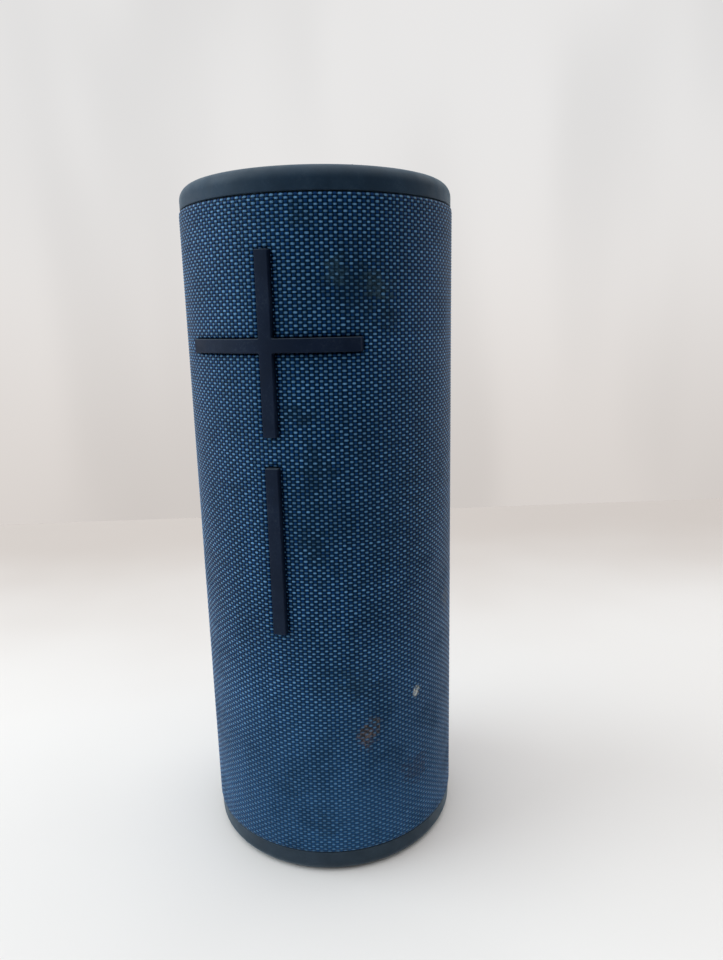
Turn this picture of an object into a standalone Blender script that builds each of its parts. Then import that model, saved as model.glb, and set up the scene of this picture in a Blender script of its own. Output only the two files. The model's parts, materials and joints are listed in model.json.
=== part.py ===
"""Portable cylindrical bluetooth speaker, 184 mm tall and 73 mm across.

Frame: metres, +Z up, origin at the centre of the underside. The volume keys face -Y, the hanging
loop and the charging port face +Y, and the two drivers and two passive radiators face -X and +X.
"""

import math

import bmesh
import bpy
from mathutils import Matrix, Vector

MM = 0.001
GAP = 0.3 * MM  # between pieces that touch
OUTER_STEPS, INNER_STEPS, SMALL_STEPS = 48, 24, 8  # facets round the large, middling and small pieces

# Overall size
HEIGHT = 184.0 * MM
SLEEVE_R = 36.5 * MM
CAP_R = 36.1 * MM
CAP_SEAM = 177.85 * MM
BASE_SEAM = 6.5 * MM
CAP_ROUND = 3.5 * MM
BASE_ROUND = 2.6 * MM

# Fabric sleeve
SLEEVE_WALL = 1.2 * MM
SLEEVE_IN = SLEEVE_R - SLEEVE_WALL

# Volume keys, on the front
KEY_WIDTH = 3.35 * MM
KEY_PROUD = 1.2 * MM
KEY_DEPTH = 1.8 * MM
KEY_TRAVEL = 0.6 * MM
PLUS_Z = 144.3 * MM
PLUS_BOTTOM, PLUS_TOP = 122.4 * MM, 165.8 * MM
PLUS_LEFT, PLUS_RIGHT = -22.8 * MM, 21.5 * MM
MINUS_BOTTOM, MINUS_TOP = 71.4 * MM, 114.8 * MM
KEY_CLEARANCE = 0.3 * MM
POST_R = 1.5 * MM

# Chassis: a tube with a flat on each side, in two halves that meet at Y = 0
CHASSIS_R = 34.9 * MM
CHASSIS_IN = 32.4 * MM
CHASSIS_BOTTOM, CHASSIS_TOP = 14.0 * MM, 168.0 * MM
NECK_R = 32.3 * MM
NECK_BOTTOM, NECK_TOP = 4.9 * MM, 176.5 * MM
NECK_IN = 30.5 * MM
CAVITY_BOTTOM, CAVITY_TOP = 7.9 * MM, 168.5 * MM
SHELF_TOP = 171.5 * MM
FLAT_X = 25.0 * MM
FLAT_WALL = 2.4 * MM
FLAT_BOTTOM, FLAT_TOP = 18.0 * MM, 155.0 * MM
BOSS_R = 3.2 * MM
BOSS_X = 18.6 * MM
BOSS_HEIGHTS = (100.5 * MM, 158.0 * MM)

# Skirts of the two end caps, which slide over the chassis necks
SKIRT_R, SKIRT_IN = 34.9 * MM, 33.0 * MM
GASKET_R, GASKET_IN = 34.6 * MM, 33.2 * MM
TOP_SKIRT_END = 169.4 * MM
BASE_SKIRT_END = 12.9 * MM
DECK_TOP, DECK_BOTTOM, DECK_R = 183.3 * MM, 180.6 * MM, 28.2 * MM
FLOOR_BOTTOM, FLOOR_TOP = 1.5 * MM, 4.6 * MM
LIP_IN, LIP_Z = 32.8 * MM, 0.25 * MM
FOOT_R, FOOT_IN, FOOT_TOP = 32.5 * MM, 21.2 * MM, 1.2 * MM
BOTTOM_DISC_R, BOTTOM_DISC_Z = 20.9 * MM, 0.5 * MM
BASE_SCREW_RING = 24.4 * MM

# Charging contacts in the middle of the underside
DOCK_HOLE_R = 7.6 * MM
CONTACT_Z = 0.7 * MM

# Buttons in the top deck: name, place and radius
DECK_BUTTONS = (
    ("play", (0.0, 0.0), 12.1 * MM),
    ("power", (0.0, -20.2 * MM), 5.4 * MM),
    ("pairing", (0.0, 20.2 * MM), 3.8 * MM),
)
BUTTON_TOP = 183.9 * MM
BUTTON_SIDE_GAP = 0.35 * MM
FLANGE_TOP, FLANGE_BOTTOM, FLANGE_EXTRA = 180.2 * MM, 179.3 * MM, 1.3 * MM
STEM_R = 2.5 * MM
LIGHT_PIPE = (-9.5 * MM, -20.2 * MM)
LIGHT_PIPE_R = 0.8 * MM

# Circuit boards and the tactile switches on them
BOARD = 1.6 * MM
KEY_BOARD_R, KEY_BOARD_TOP = 30.0 * MM, 173.4 * MM
VOLUME_BOARD_FACE = -25.7 * MM
SWITCH_SIDE, SWITCH_LOW, SWITCH_HIGH = 6.0 * MM, 0.3 * MM, 2.9 * MM
SWITCH_FLOOR, SWITCH_HOLE_R = 0.8 * MM, 1.8 * MM
PLUNGER_R, PLUNGER_LOW, PLUNGER_HIGH = 1.45 * MM, 1.6 * MM, 3.3 * MM
STEM_END = 3.6 * MM  # above the board that the switch is on

# Drivers, one on each flat
DRIVER_Z = 127.0 * MM
DRIVER_HOLE_R = 18.5 * MM
FLANGE_R = 21.5 * MM
CONE_R = 15.3 * MM

# Passive radiators, one on each flat: half width along Y and half height along Z
RADIATOR_Z = 59.0 * MM
FRAME_HALF = (20.6 * MM, 36.6 * MM)
FRAME_HOLE_HALF = (17.0 * MM, 33.0 * MM)
ROLL_HALF = (20.0 * MM, 36.0 * MM)
PISTON_HALF = (14.5 * MM, 30.5 * MM)
WEIGHT_HALF = (8.0 * MM, 20.0 * MM)
RADIATOR_HOLE_HALF = (15.6 * MM, 31.6 * MM)

# Battery
CELL_R, CELL_BOTTOM, CELL_TOP, CELL_X = 9.0 * MM, 30.0 * MM, 95.0 * MM, 9.3 * MM

# Charging port and its flap, on the back
PORT_Z = 25.5 * MM
PORT_HOLE = (12.2 * MM, 8.2 * MM)
BEZEL_WALL = 1.2 * MM
BEZEL_BACK, BEZEL_FRONT = 29.4 * MM, 35.0 * MM
FLAP_BOTTOM, FLAP_TOP = 18.2 * MM, 31.8 * MM
FLAP_HALF_ANGLE = math.radians(11.9)
FLAP_R, FLAP_IN = 37.0 * MM, 36.1 * MM
FLAP_CLEARANCE = 0.4 * MM

# Hanging loop, a strap on the upper back
STRAP_WIDTH, STRAP_THICK = 10.0 * MM, 1.2 * MM
STRAP_Y, STRAP_END_Y = 38.7 * MM, 33.3 * MM
STRAP_TOP, STRAP_BOTTOM = 166.0 * MM, 126.0 * MM
STRAP_BEND = 3.4 * MM
STRAP_CLEARANCE = 0.6 * MM

FRONT, BACK = -math.pi / 2, math.pi / 2

for old in list(bpy.data.objects):
    bpy.data.objects.remove(old, do_unlink=True)

parts = bpy.data.collections.new("bluetooth_speaker")
cutters = bpy.data.collections.new("cutters")
bpy.context.scene.collection.children.link(parts)
bpy.context.scene.collection.children.link(cutters)


def material(name, color, roughness, metallic=0.0):
    made = bpy.data.materials.new(name)
    made.use_nodes = True
    shader = made.node_tree.nodes["Principled BSDF"]
    shader.inputs["Base Color"].default_value = (*color, 1.0)
    shader.inputs["Roughness"].default_value = roughness
    shader.inputs["Metallic"].default_value = metallic
    return made


fabric = material("woven_fabric", (0.022, 0.075, 0.17), 0.55)
webbing = material("webbing", (0.018, 0.05, 0.11), 0.7)
cap_rubber = material("cap_rubber", (0.018, 0.028, 0.042), 0.6)
key_rubber = material("key_rubber", (0.014, 0.016, 0.036), 0.55)
seal_rubber = material("seal_rubber", (0.02, 0.02, 0.02), 0.7)
chassis_plastic = material("chassis_plastic", (0.03, 0.03, 0.032), 0.5)
cone_paper = material("cone_paper", (0.05, 0.05, 0.055), 0.8)
steel = material("steel", (0.55, 0.56, 0.58), 0.35, 1.0)
gold = material("gold_contact", (0.9, 0.62, 0.24), 0.25, 1.0)
board_green = material("circuit_board", (0.02, 0.14, 0.06), 0.45)
cell_wrap = material("cell_wrap", (0.08, 0.25, 0.5), 0.4)
clear_plastic = material("clear_plastic", (0.8, 0.85, 0.9), 0.15)


def placed(name, mesh, surface, location=(0, 0, 0), turn=(0, 0, 0)):
    """Put a mesh in the scene as a part, or as a cutter when it has no surface."""
    made = bpy.data.objects.new(name, mesh)
    made.location = location
    made.rotation_euler = turn
    if surface is None:
        cutters.objects.link(made)
        made.hide_render = True
        made.display_type = "WIRE"
    else:
        parts.objects.link(made)
        mesh.materials.append(surface)
    return made


def mesh_from(name, bm):
    mesh = bpy.data.meshes.new(name)
    bm.to_mesh(mesh)
    bm.free()
    return mesh


def smooth(made, angle=35):
    made.data.shade_smooth()
    made.data.set_sharp_from_angle(angle=math.radians(angle))
    return made


def box(name, low, high, surface=None, bevel=0.0):
    """A box from its lowest to its highest corner."""
    low, high = Vector(low), Vector(high)
    bm = bmesh.new()
    bmesh.ops.create_cube(bm, size=1.0)
    bmesh.ops.scale(bm, vec=high - low, verts=bm.verts)
    made = placed(name, mesh_from(name, bm), surface, (low + high) / 2)
    if bevel:
        edge = made.modifiers.new("rounded_edges", "BEVEL")
        edge.width = bevel
        edge.segments = 2
    return made


def rod(name, radius, start, end, surface=None, sides=INNER_STEPS):
    """A cylinder from one point to another."""
    start, end = Vector(start), Vector(end)
    bm = bmesh.new()
    bmesh.ops.create_cone(
        bm, cap_ends=True, segments=sides, radius1=radius, radius2=radius, depth=(end - start).length
    )
    turn = (end - start).to_track_quat("Z", "Y").to_euler()
    return smooth(placed(name, mesh_from(name, bm), surface, (start + end) / 2, turn))


def turned(name, profile, surface=None, steps=INNER_STEPS, location=(0, 0, 0), turn=(0, 0, 0)):
    """A profile of (radius, height) points, outer side running down, turned about Z.

    A profile whose ends are both on the axis is left open, and any other is closed.
    """
    bm = bmesh.new()
    points = [bm.verts.new((radius, 0.0, height)) for radius, height in profile]
    for here, following in zip(points, points[1:]):
        bm.edges.new((here, following))
    if profile[0][0] > 0 or profile[-1][0] > 0:
        bm.edges.new((points[-1], points[0]))
    made = placed(name, mesh_from(name, bm), surface, location, turn)
    screw = made.modifiers.new("turned", "SCREW")
    screw.angle = 2 * math.pi
    screw.steps = screw.render_steps = steps
    screw.use_merge_vertices = True
    screw.merge_threshold = 0.00001
    screw.use_smooth_shade = True
    return made


def prism(name, outline, length, surface=None, location=(0, 0, 0), turn=(0, 0, 0)):
    """A flat outline in XY, raised along Z."""
    bm = bmesh.new()
    face = bm.faces.new([bm.verts.new((x, y, 0.0)) for x, y in outline])
    raised = bmesh.ops.extrude_face_region(bm, geom=[face])["geom"]
    moved = [item for item in raised if isinstance(item, bmesh.types.BMVert)]
    bmesh.ops.translate(bm, vec=(0.0, 0.0, length), verts=moved)
    bmesh.ops.recalc_face_normals(bm, faces=bm.faces)
    return placed(name, mesh_from(name, bm), surface, location, turn)


def arc(centre, radius, start, end, count):
    """Points along an arc, both ends included, with angles in radians."""
    angles = [start + (end - start) * step / count for step in range(count + 1)]
    return [(centre[0] + radius * math.cos(a), centre[1] + radius * math.sin(a)) for a in angles]


def stadium(half_width, half_height, count=8):
    """A racetrack outline: two half circles joined by straight sides."""
    rise = half_height - half_width
    upper = arc((0.0, rise), half_width, 0.0, math.pi, count)
    lower = arc((0.0, -rise), half_width, math.pi, 2 * math.pi, count)
    return upper + lower


def curved_patch(name, angle_edges, height_edges, filled, inner, outer, surface=None):
    """A patch of a cylinder's wall, made of the cells between the given angles and heights."""
    bm = bmesh.new()
    corners = {}

    def corner(angle, height):
        if (angle, height) not in corners:
            place = (outer * math.cos(angle), outer * math.sin(angle), height)
            corners[angle, height] = bm.verts.new(place)
        return corners[angle, height]

    for low, high in zip(height_edges, height_edges[1:]):
        for start, end in zip(angle_edges, angle_edges[1:]):
            if filled((start + end) / 2, (low + high) / 2):
                ring = ((start, low), (end, low), (end, high), (start, high))
                bm.faces.new([corner(*place) for place in ring])
    made = placed(name, mesh_from(name, bm), surface)
    wall = made.modifiers.new("wall", "SOLIDIFY")
    wall.thickness = outer - inner
    wall.offset = -1.0
    wall.use_even_offset = True
    return made


def boolean(made, other, operation):
    step = made.modifiers.new(other.name, "BOOLEAN")
    step.object = other
    step.operation = operation
    step.solver = "EXACT"
    if other.name not in cutters.objects:
        parts.objects.unlink(other)
        cutters.objects.link(other)
        other.hide_render = True
        other.display_type = "WIRE"
    return made


def cut(made, *others):
    for other in others:
        boolean(made, other, "DIFFERENCE")
    return made


def join(made, *others):
    for other in others:
        boolean(made, other, "UNION")
    return made


def keep_inside(made, other):
    return boolean(made, other, "INTERSECT")


def evenly(start, end, count):
    return [start + (end - start) * step / count for step in range(count + 1)]


# ---------------------------------------------------------------- volume keys


def key_shape(name, sign, grow, inner, outer, surface=None):
    """The plus or the minus, as a patch of the cylinder, grown on every side."""
    half = KEY_WIDTH / 2 / SLEEVE_R + grow / SLEEVE_R
    if sign == "minus":
        angles = (FRONT - half, FRONT + half)
        heights = (MINUS_BOTTOM - grow, MINUS_TOP + grow)
        return curved_patch(name, angles, heights, lambda a, z: True, inner, outer, surface)
    reach = math.radians(44)  # past the ends, which are trimmed square to the way the key travels
    left = evenly(FRONT - reach, FRONT - half, 7)
    right = evenly(FRONT + half, FRONT + reach, 7)
    bar = (PLUS_Z - KEY_WIDTH / 2 - grow, PLUS_Z + KEY_WIDTH / 2 + grow)
    heights = (PLUS_BOTTOM - grow, *bar, PLUS_TOP + grow)

    def in_plus(angle, height):
        return abs(angle - FRONT) < half or bar[0] < height < bar[1]

    plus = curved_patch(name, left + right, heights, in_plus, inner, outer, surface)
    ends = (PLUS_LEFT - grow, PLUS_RIGHT + grow)
    return keep_inside(plus, box(name + "_ends", (ends[0], -50 * MM, 0), (ends[1], 0, HEIGHT)))


def volume_key(sign, middle):
    face = SLEEVE_R + KEY_PROUD
    key = key_shape(sign + "_button", sign, 0.0, face - KEY_DEPTH, face, key_rubber)
    stem_end = VOLUME_BOARD_FACE - STEM_END
    start = (0, -face + KEY_DEPTH / 2, middle)
    return join(key, rod(sign + "_post", POST_R, start, (0, stem_end, middle)))


def tact_switch(name, board_point, outward):
    """A switch's case on a board, and the plunger that the button presses."""
    outward = Vector(outward)
    board_point = Vector(board_point)
    half = SWITCH_SIDE / 2
    across = Vector([half if abs(part) < 0.5 else 0.0 for part in outward])
    near, far = board_point + outward * SWITCH_LOW, board_point + outward * SWITCH_HIGH
    low = Vector(map(min, near - across, far - across))
    high = Vector(map(max, near + across, far + across))
    case = box(name + "_switch", low, high, chassis_plastic)
    hole = (board_point + outward * SWITCH_FLOOR, far + outward * GAP)
    cut(case, rod(name + "_switch_hole", SWITCH_HOLE_R, *hole, sides=12))
    ends = (board_point + outward * PLUNGER_LOW, board_point + outward * PLUNGER_HIGH)
    rod(name + "_plunger", PLUNGER_R, *ends, seal_rubber, sides=12)


MINUS_Z = (MINUS_BOTTOM + MINUS_TOP) / 2
for key_sign, key_middle in (("plus", PLUS_Z), ("minus", MINUS_Z)):
    volume_key(key_sign, key_middle)
    tact_switch(key_sign, (0, VOLUME_BOARD_FACE, key_middle), (0, -1, 0))

box(
    "volume_board",
    (-7 * MM, VOLUME_BOARD_FACE, 84 * MM),
    (7 * MM, VOLUME_BOARD_FACE + BOARD, 154 * MM),
    board_green,
)

# ---------------------------------------------------------------- sleeve


def flap_shape(name, grow, inner, outer, surface=None):
    half = FLAP_HALF_ANGLE + grow / SLEEVE_R
    angles = evenly(BACK - half, BACK + half, 6)
    heights = (FLAP_BOTTOM - grow, FLAP_TOP + grow)
    return curved_patch(name, angles, heights, lambda a, z: True, inner, outer, surface)


def strap_slots(name):
    """A slot through the wall at each end of the hanging loop."""
    half = STRAP_WIDTH / 2 + STRAP_CLEARANCE
    rise = STRAP_THICK / 2 + STRAP_CLEARANCE
    return [
        box(f"{name}_{end}_slot", (-half, 31 * MM, z - rise), (half, 38 * MM, z + rise))
        for end, z in (("upper", STRAP_TOP), ("lower", STRAP_BOTTOM))
    ]


wall = [
    (SLEEVE_IN, CAP_SEAM - GAP / 2),
    (SLEEVE_R, CAP_SEAM - GAP / 2),
    (SLEEVE_R, BASE_SEAM + GAP / 2),
    (SLEEVE_IN, BASE_SEAM + GAP / 2),
]
cut(
    turned("fabric_sleeve", wall, fabric, steps=OUTER_STEPS),
    key_shape("plus_window", "plus", KEY_CLEARANCE, 33 * MM, 40 * MM),
    key_shape("minus_window", "minus", KEY_CLEARANCE, 33 * MM, 40 * MM),
    flap_shape("flap_window", FLAP_CLEARANCE, 33 * MM, 40 * MM),
    *strap_slots("sleeve"),
)

# ---------------------------------------------------------------- top cap and its buttons


def top_cap():
    rounding = arc((CAP_R - CAP_ROUND, HEIGHT - CAP_ROUND), CAP_ROUND, math.pi / 2, 0.0, 4)
    profile = [
        (0.0, DECK_TOP),
        (DECK_R, DECK_TOP),
        (DECK_R + 0.6 * MM, HEIGHT),
        *rounding,
        (CAP_R, CAP_SEAM + GAP / 2),
        (SKIRT_R, CAP_SEAM + GAP / 2),
        (SKIRT_R, TOP_SKIRT_END),
        (SKIRT_IN, TOP_SKIRT_END),
        (SKIRT_IN, DECK_BOTTOM),
        (0.0, DECK_BOTTOM),
    ]
    cap = turned("top_cap", profile, cap_rubber, steps=OUTER_STEPS)
    for name, (x, y), radius in DECK_BUTTONS:
        ends = ((x, y, DECK_BOTTOM - 1 * MM), (x, y, HEIGHT + 1 * MM))
        cut(cap, rod(name + "_hole", radius + BUTTON_SIDE_GAP, *ends))
    x, y = LIGHT_PIPE
    ends = ((x, y, DECK_BOTTOM - 1 * MM), (x, y, HEIGHT + 1 * MM))
    return cut(cap, rod("light_pipe_hole", LIGHT_PIPE_R + GAP, *ends, sides=12))


def deck_button(name, place, radius):
    x, y = place
    edge = 0.5 * MM
    profile = [
        (0.0, BUTTON_TOP),
        (radius - edge, BUTTON_TOP),
        (radius, BUTTON_TOP - edge),
        (radius, FLANGE_TOP),
        (radius + FLANGE_EXTRA, FLANGE_TOP),
        (radius + FLANGE_EXTRA, FLANGE_BOTTOM),
        (STEM_R, FLANGE_BOTTOM),
        (STEM_R, KEY_BOARD_TOP + STEM_END),
        (0.0, KEY_BOARD_TOP + STEM_END),
    ]
    turned(name + "_button", profile, cap_rubber, location=(x, y, 0))
    tact_switch(name, (x, y, KEY_BOARD_TOP), (0, 0, 1))


top_cap()
for button in DECK_BUTTONS:
    deck_button(*button)

rod("key_board", KEY_BOARD_R, (0, 0, KEY_BOARD_TOP - BOARD), (0, 0, KEY_BOARD_TOP), board_green, 40)
rod(
    "light_pipe",
    LIGHT_PIPE_R,
    (*LIGHT_PIPE, KEY_BOARD_TOP + GAP),
    (*LIGHT_PIPE, DECK_TOP + 0.1 * MM),
    clear_plastic,
    12,
)


def gasket(name, low, high):
    section = [(GASKET_IN, high), (GASKET_R, high), (GASKET_R, low), (GASKET_IN, low)]
    turned(name, section, seal_rubber, steps=OUTER_STEPS)


gasket("top_gasket", CHASSIS_TOP + GAP, TOP_SKIRT_END - GAP)
gasket("base_gasket", BASE_SKIRT_END + GAP, CHASSIS_BOTTOM - GAP)

# ---------------------------------------------------------------- base cap, foot and contacts


def on_ring(radius, count, first):
    angles = [first + 2 * math.pi * step / count for step in range(count)]
    return [(radius * math.cos(angle), radius * math.sin(angle)) for angle in angles]


def screw(name, start, direction, length, surface=steel):
    """A pan-head screw: its head at start, its shank along the direction."""
    head_r, head, shank_r, tip = 2.4 * MM, 1.6 * MM, 1.2 * MM, 1.0 * MM
    recess_r, recess = 1.0 * MM, 0.9 * MM
    profile = [
        (0.0, -recess),
        (recess_r, -recess),
        (recess_r, 0.0),
        (head_r * 0.8, 0.0),
        (head_r, -head / 2),
        (head_r, -head),
        (shank_r, -head),
        (shank_r, -length + tip),
        (0.0, -length),
    ]
    turn = (-Vector(direction)).to_track_quat("Z", "Y").to_euler()
    return turned(name, profile, surface, steps=SMALL_STEPS, location=start, turn=turn)


def base_cap():
    rounding = arc((CAP_R - BASE_ROUND, BASE_ROUND + LIP_Z), BASE_ROUND, 0.0, -math.pi / 2, 3)
    profile = [
        (DOCK_HOLE_R, FLOOR_TOP),
        (SKIRT_IN, FLOOR_TOP),
        (SKIRT_IN, BASE_SKIRT_END),
        (SKIRT_R, BASE_SKIRT_END),
        (SKIRT_R, BASE_SEAM - GAP / 2),
        (CAP_R, BASE_SEAM - GAP / 2),
        *rounding,
        (LIP_IN, LIP_Z),
        (LIP_IN, FLOOR_BOTTOM),
        (BOTTOM_DISC_R, FLOOR_BOTTOM),
        (BOTTOM_DISC_R, BOTTOM_DISC_Z),
        (DOCK_HOLE_R, BOTTOM_DISC_Z),
    ]
    cap = turned("base_cap", profile, cap_rubber, steps=OUTER_STEPS)
    for number, (x, y) in enumerate(BASE_SCREWS, start=1):
        ends = ((x, y, 1.0 * MM), (x, y, 3.3 * MM))
        cut(cap, rod(f"base_counterbore_{number}", 2.8 * MM, *ends, sides=12))
        ends = ((x, y, 3.0 * MM), (x, y, 6.0 * MM))
        cut(cap, rod(f"base_screw_hole_{number}", 1.5 * MM, *ends, sides=12))
    return cap


BASE_SCREWS = on_ring(BASE_SCREW_RING, 3, BACK)
base_cap()
for number, (x, y) in enumerate(BASE_SCREWS, start=1):
    screw(f"base_screw_{number}", (x, y, FLOOR_BOTTOM + 0.1 * MM), (0, 0, 1), 10.0 * MM)

foot_edge = 0.3 * MM
foot = [
    (FOOT_IN, FOOT_TOP),
    (FOOT_R, FOOT_TOP),
    (FOOT_R, foot_edge),
    (FOOT_R - foot_edge, 0.0),
    (FOOT_IN + foot_edge, 0.0),
    (FOOT_IN, foot_edge),
]
turned("foot_ring", foot, seal_rubber, steps=OUTER_STEPS)


def dock_contacts():
    """A moulded carrier with a pin in its middle and a ring in its groove."""
    carrier_r, flange_r, flange_top = 7.3 * MM, 9.2 * MM, 6.0 * MM
    pin_r, ring_in, ring_r = 1.6 * MM, 4.4 * MM, 6.0 * MM
    ring_top, face = 2.3 * MM, CONTACT_Z + 0.2 * MM
    groove_top = ring_top + GAP
    carrier = [
        (pin_r + GAP, flange_top),
        (flange_r, flange_top),
        (flange_r, FLOOR_TOP + GAP),
        (carrier_r, FLOOR_TOP + GAP),
        (carrier_r, face),
        (ring_r + GAP, face),
        (ring_r + GAP, groove_top),
        (ring_in - GAP, groove_top),
        (ring_in - GAP, face),
        (pin_r + GAP, face),
    ]
    turned("dock_carrier", carrier, chassis_plastic)
    ring = [(ring_in, ring_top), (ring_r, ring_top), (ring_r, CONTACT_Z), (ring_in, CONTACT_Z)]
    turned("dock_ring", ring, gold)
    rod("dock_pin", pin_r, (0, 0, CONTACT_Z), (0, 0, flange_top), gold, 20)


dock_contacts()

# ---------------------------------------------------------------- chassis


def cavity_outline():
    """The chassis's inside: a circle cut short at both flats."""
    half_x = FLAT_X - FLAT_WALL
    start = math.acos(half_x / CHASSIS_IN)
    back = arc((0.0, 0.0), CHASSIS_IN, start, math.pi - start, 10)
    front = arc((0.0, 0.0), CHASSIS_IN, math.pi + start, 2 * math.pi - start, 10)
    return back + front


def across_flats(name, half_sizes, height):
    """A racetrack cutter that runs through both flats along X."""
    length = 2 * CHASSIS_R + 4 * MM
    turn = Matrix(((0, 0, 1), (1, 0, 0), (0, 1, 0))).to_euler()
    place = (-length / 2, 0, height)
    return prism(name, stadium(*half_sizes), length, None, place, turn)


def chassis_half(name, side):
    """One half of the chassis: side is -1 for the front and +1 for the back."""
    outside = [
        (0.0, SHELF_TOP),
        (NECK_IN, SHELF_TOP),
        (NECK_IN, NECK_TOP),
        (NECK_R, NECK_TOP),
        (NECK_R, CHASSIS_TOP),
        (CHASSIS_R, CHASSIS_TOP),
        (CHASSIS_R, CHASSIS_BOTTOM),
        (NECK_R, CHASSIS_BOTTOM),
        (NECK_R, NECK_BOTTOM),
        (0.0, NECK_BOTTOM),
    ]
    half = turned(name, outside, chassis_plastic, steps=OUTER_STEPS)
    cavity_height = CAVITY_TOP - CAVITY_BOTTOM
    cavity = prism(name + "_cavity", cavity_outline(), cavity_height, None, (0, 0, CAVITY_BOTTOM))
    cut(half, cavity)
    for x in (-1, 1):
        low, high = sorted((x * FLAT_X, x * 2 * FLAT_X))
        corner_low = (low, -40 * MM, FLAT_BOTTOM)
        cut(half, box(f"{name}_flat_{x}", corner_low, (high, 40 * MM, FLAT_TOP)))
    bosses = [(x * BOSS_X, z) for z in BOSS_HEIGHTS for x in (-1, 1)]
    for number, (x, z) in enumerate(bosses, start=1):
        reach = 26.0 * MM
        boss = rod(f"{name}_boss_{number}", BOSS_R, (x, -reach, z), (x, reach, z), sides=12)
        join(half, boss)
        shank = ((x, -9.5 * MM, z), (x, 12.5 * MM, z))
        cut(half, rod(f"{name}_shank_{number}", 1.5 * MM, *shank, sides=12))
        head = ((x, 12.0 * MM, z), (x, 40.0 * MM, z))
        cut(half, rod(f"{name}_head_{number}", 2.7 * MM, *head, sides=12))
    for number, (x, y) in enumerate(BASE_SCREWS, start=1):
        ends = ((x, y, NECK_BOTTOM - 1 * MM), (x, y, CAVITY_BOTTOM + 1 * MM))
        cut(half, rod(f"{name}_base_hole_{number}", 1.5 * MM, *ends, sides=12))
    ends = ((0, 0, NECK_BOTTOM - 1 * MM), (0, 0, CAVITY_BOTTOM + 1 * MM))
    cut(half, rod(name + "_dock_hole", 9.6 * MM, *ends))
    ends = ((-CHASSIS_R - 2 * MM, 0, DRIVER_Z), (CHASSIS_R + 2 * MM, 0, DRIVER_Z))
    cut(half, rod(name + "_driver_hole", DRIVER_HOLE_R, *ends, sides=32))
    cut(half, across_flats(name + "_radiator_hole", RADIATOR_HOLE_HALF, RADIATOR_Z))
    near, far = sorted((side * GAP / 2, side * 50 * MM))
    return keep_inside(half, box(name + "_side", (-50 * MM, near, 0), (50 * MM, far, HEIGHT)))


front_half = chassis_half("chassis_front", -1)
for key_sign, key_middle in (("plus", PLUS_Z), ("minus", MINUS_Z)):
    ends = ((0, -40 * MM, key_middle), (0, -30 * MM, key_middle))
    cut(front_half, rod(key_sign + "_post_hole", POST_R + 0.5 * MM, *ends, sides=12))

rear_half = chassis_half("chassis_rear", 1)
bezel_x = PORT_HOLE[0] / 2 + BEZEL_WALL
bezel_z = PORT_HOLE[1] / 2 + BEZEL_WALL
cut(
    rear_half,
    box(
        "port_hole",
        (-bezel_x - GAP, 27 * MM, PORT_Z - bezel_z - GAP),
        (bezel_x + GAP, 40 * MM, PORT_Z + bezel_z + GAP),
    ),
    *strap_slots("chassis"),
    rod("cable_hole", 2.0 * MM, (12 * MM, 20 * MM, 165 * MM), (12 * MM, 20 * MM, 173 * MM), sides=12),
)
for number, (x, z) in enumerate([(x * BOSS_X, z) for z in BOSS_HEIGHTS for x in (-1, 1)], start=1):
    screw(f"chassis_screw_{number}", (x, 13.9 * MM, z), (0, -1, 0), 22.0 * MM)

# ---------------------------------------------------------------- drivers and radiators

SIDES = (("left", -1), ("right", 1))


def side_turn(side):
    """Turns +Z to point out of the flat on that side."""
    return (0.0, side * math.pi / 2, 0.0)


def driver(name, side):
    """Heights in these profiles are distances from the speaker's axis."""
    seat = FLAT_X + GAP
    flange_top = seat + 1.5 * MM
    place = {"location": (0, 0, DRIVER_Z), "turn": side_turn(side)}
    basket = [
        (17.2 * MM, flange_top),
        (FLANGE_R, flange_top),
        (FLANGE_R, seat),
        (18.2 * MM, seat),
        (17.6 * MM, 20.0 * MM),
        (12.6 * MM, 13.0 * MM),
        (10.2 * MM, 13.0 * MM),
        (10.2 * MM, 14.2 * MM),
        (12.0 * MM, 14.2 * MM),
        (16.6 * MM, 20.5 * MM),
    ]
    turned("basket_" + name, basket, steel, **place)
    magnet = [
        (0.0, 12.2 * MM),
        (8.1 * MM, 12.2 * MM),
        (8.1 * MM, 7.0 * MM),
        (9.7 * MM, 7.0 * MM),
        (9.7 * MM, 12.7 * MM),
        (14.0 * MM, 12.7 * MM),
        (14.0 * MM, 3.0 * MM),
        (0.0, 3.0 * MM),
    ]
    turned("magnet_" + name, magnet, steel, **place)
    cone = [
        (0.0, 19.6 * MM),
        (5.6 * MM, 18.9 * MM),
        (8.9 * MM, 17.0 * MM),
        (14.6 * MM, 26.9 * MM),
        (CONE_R, 26.9 * MM),
        (CONE_R, 26.3 * MM),
        (9.2 * MM, 15.8 * MM),
        (9.2 * MM, 9.0 * MM),
        (8.6 * MM, 9.0 * MM),
        (8.6 * MM, 16.2 * MM),
        (5.4 * MM, 18.3 * MM),
        (0.0, 19.0 * MM),
    ]
    turned("cone_" + name, cone, cone_paper, **place)
    lip_low, lip_high = flange_top + GAP, flange_top + 0.8 * MM
    roll_in, roll_out, roll_wall = 16.3 * MM, 19.9 * MM, 0.5 * MM
    middle, radius = (roll_in + roll_out) / 2, (roll_out - roll_in) / 2
    over = arc((middle, lip_low), radius, math.pi, 0.0, 4)
    under = arc((middle, lip_low), radius - roll_wall, 0.0, math.pi, 4)
    surround = [
        (CONE_R + GAP, lip_low),
        (CONE_R + GAP, lip_high),
        *over[1:-1],
        (roll_out, lip_high),
        (FLANGE_R - 0.2 * MM, lip_high),
        (FLANGE_R - 0.2 * MM, lip_low),
        *under,
    ]
    turned("surround_" + name, surround, seal_rubber, **place)


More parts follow.
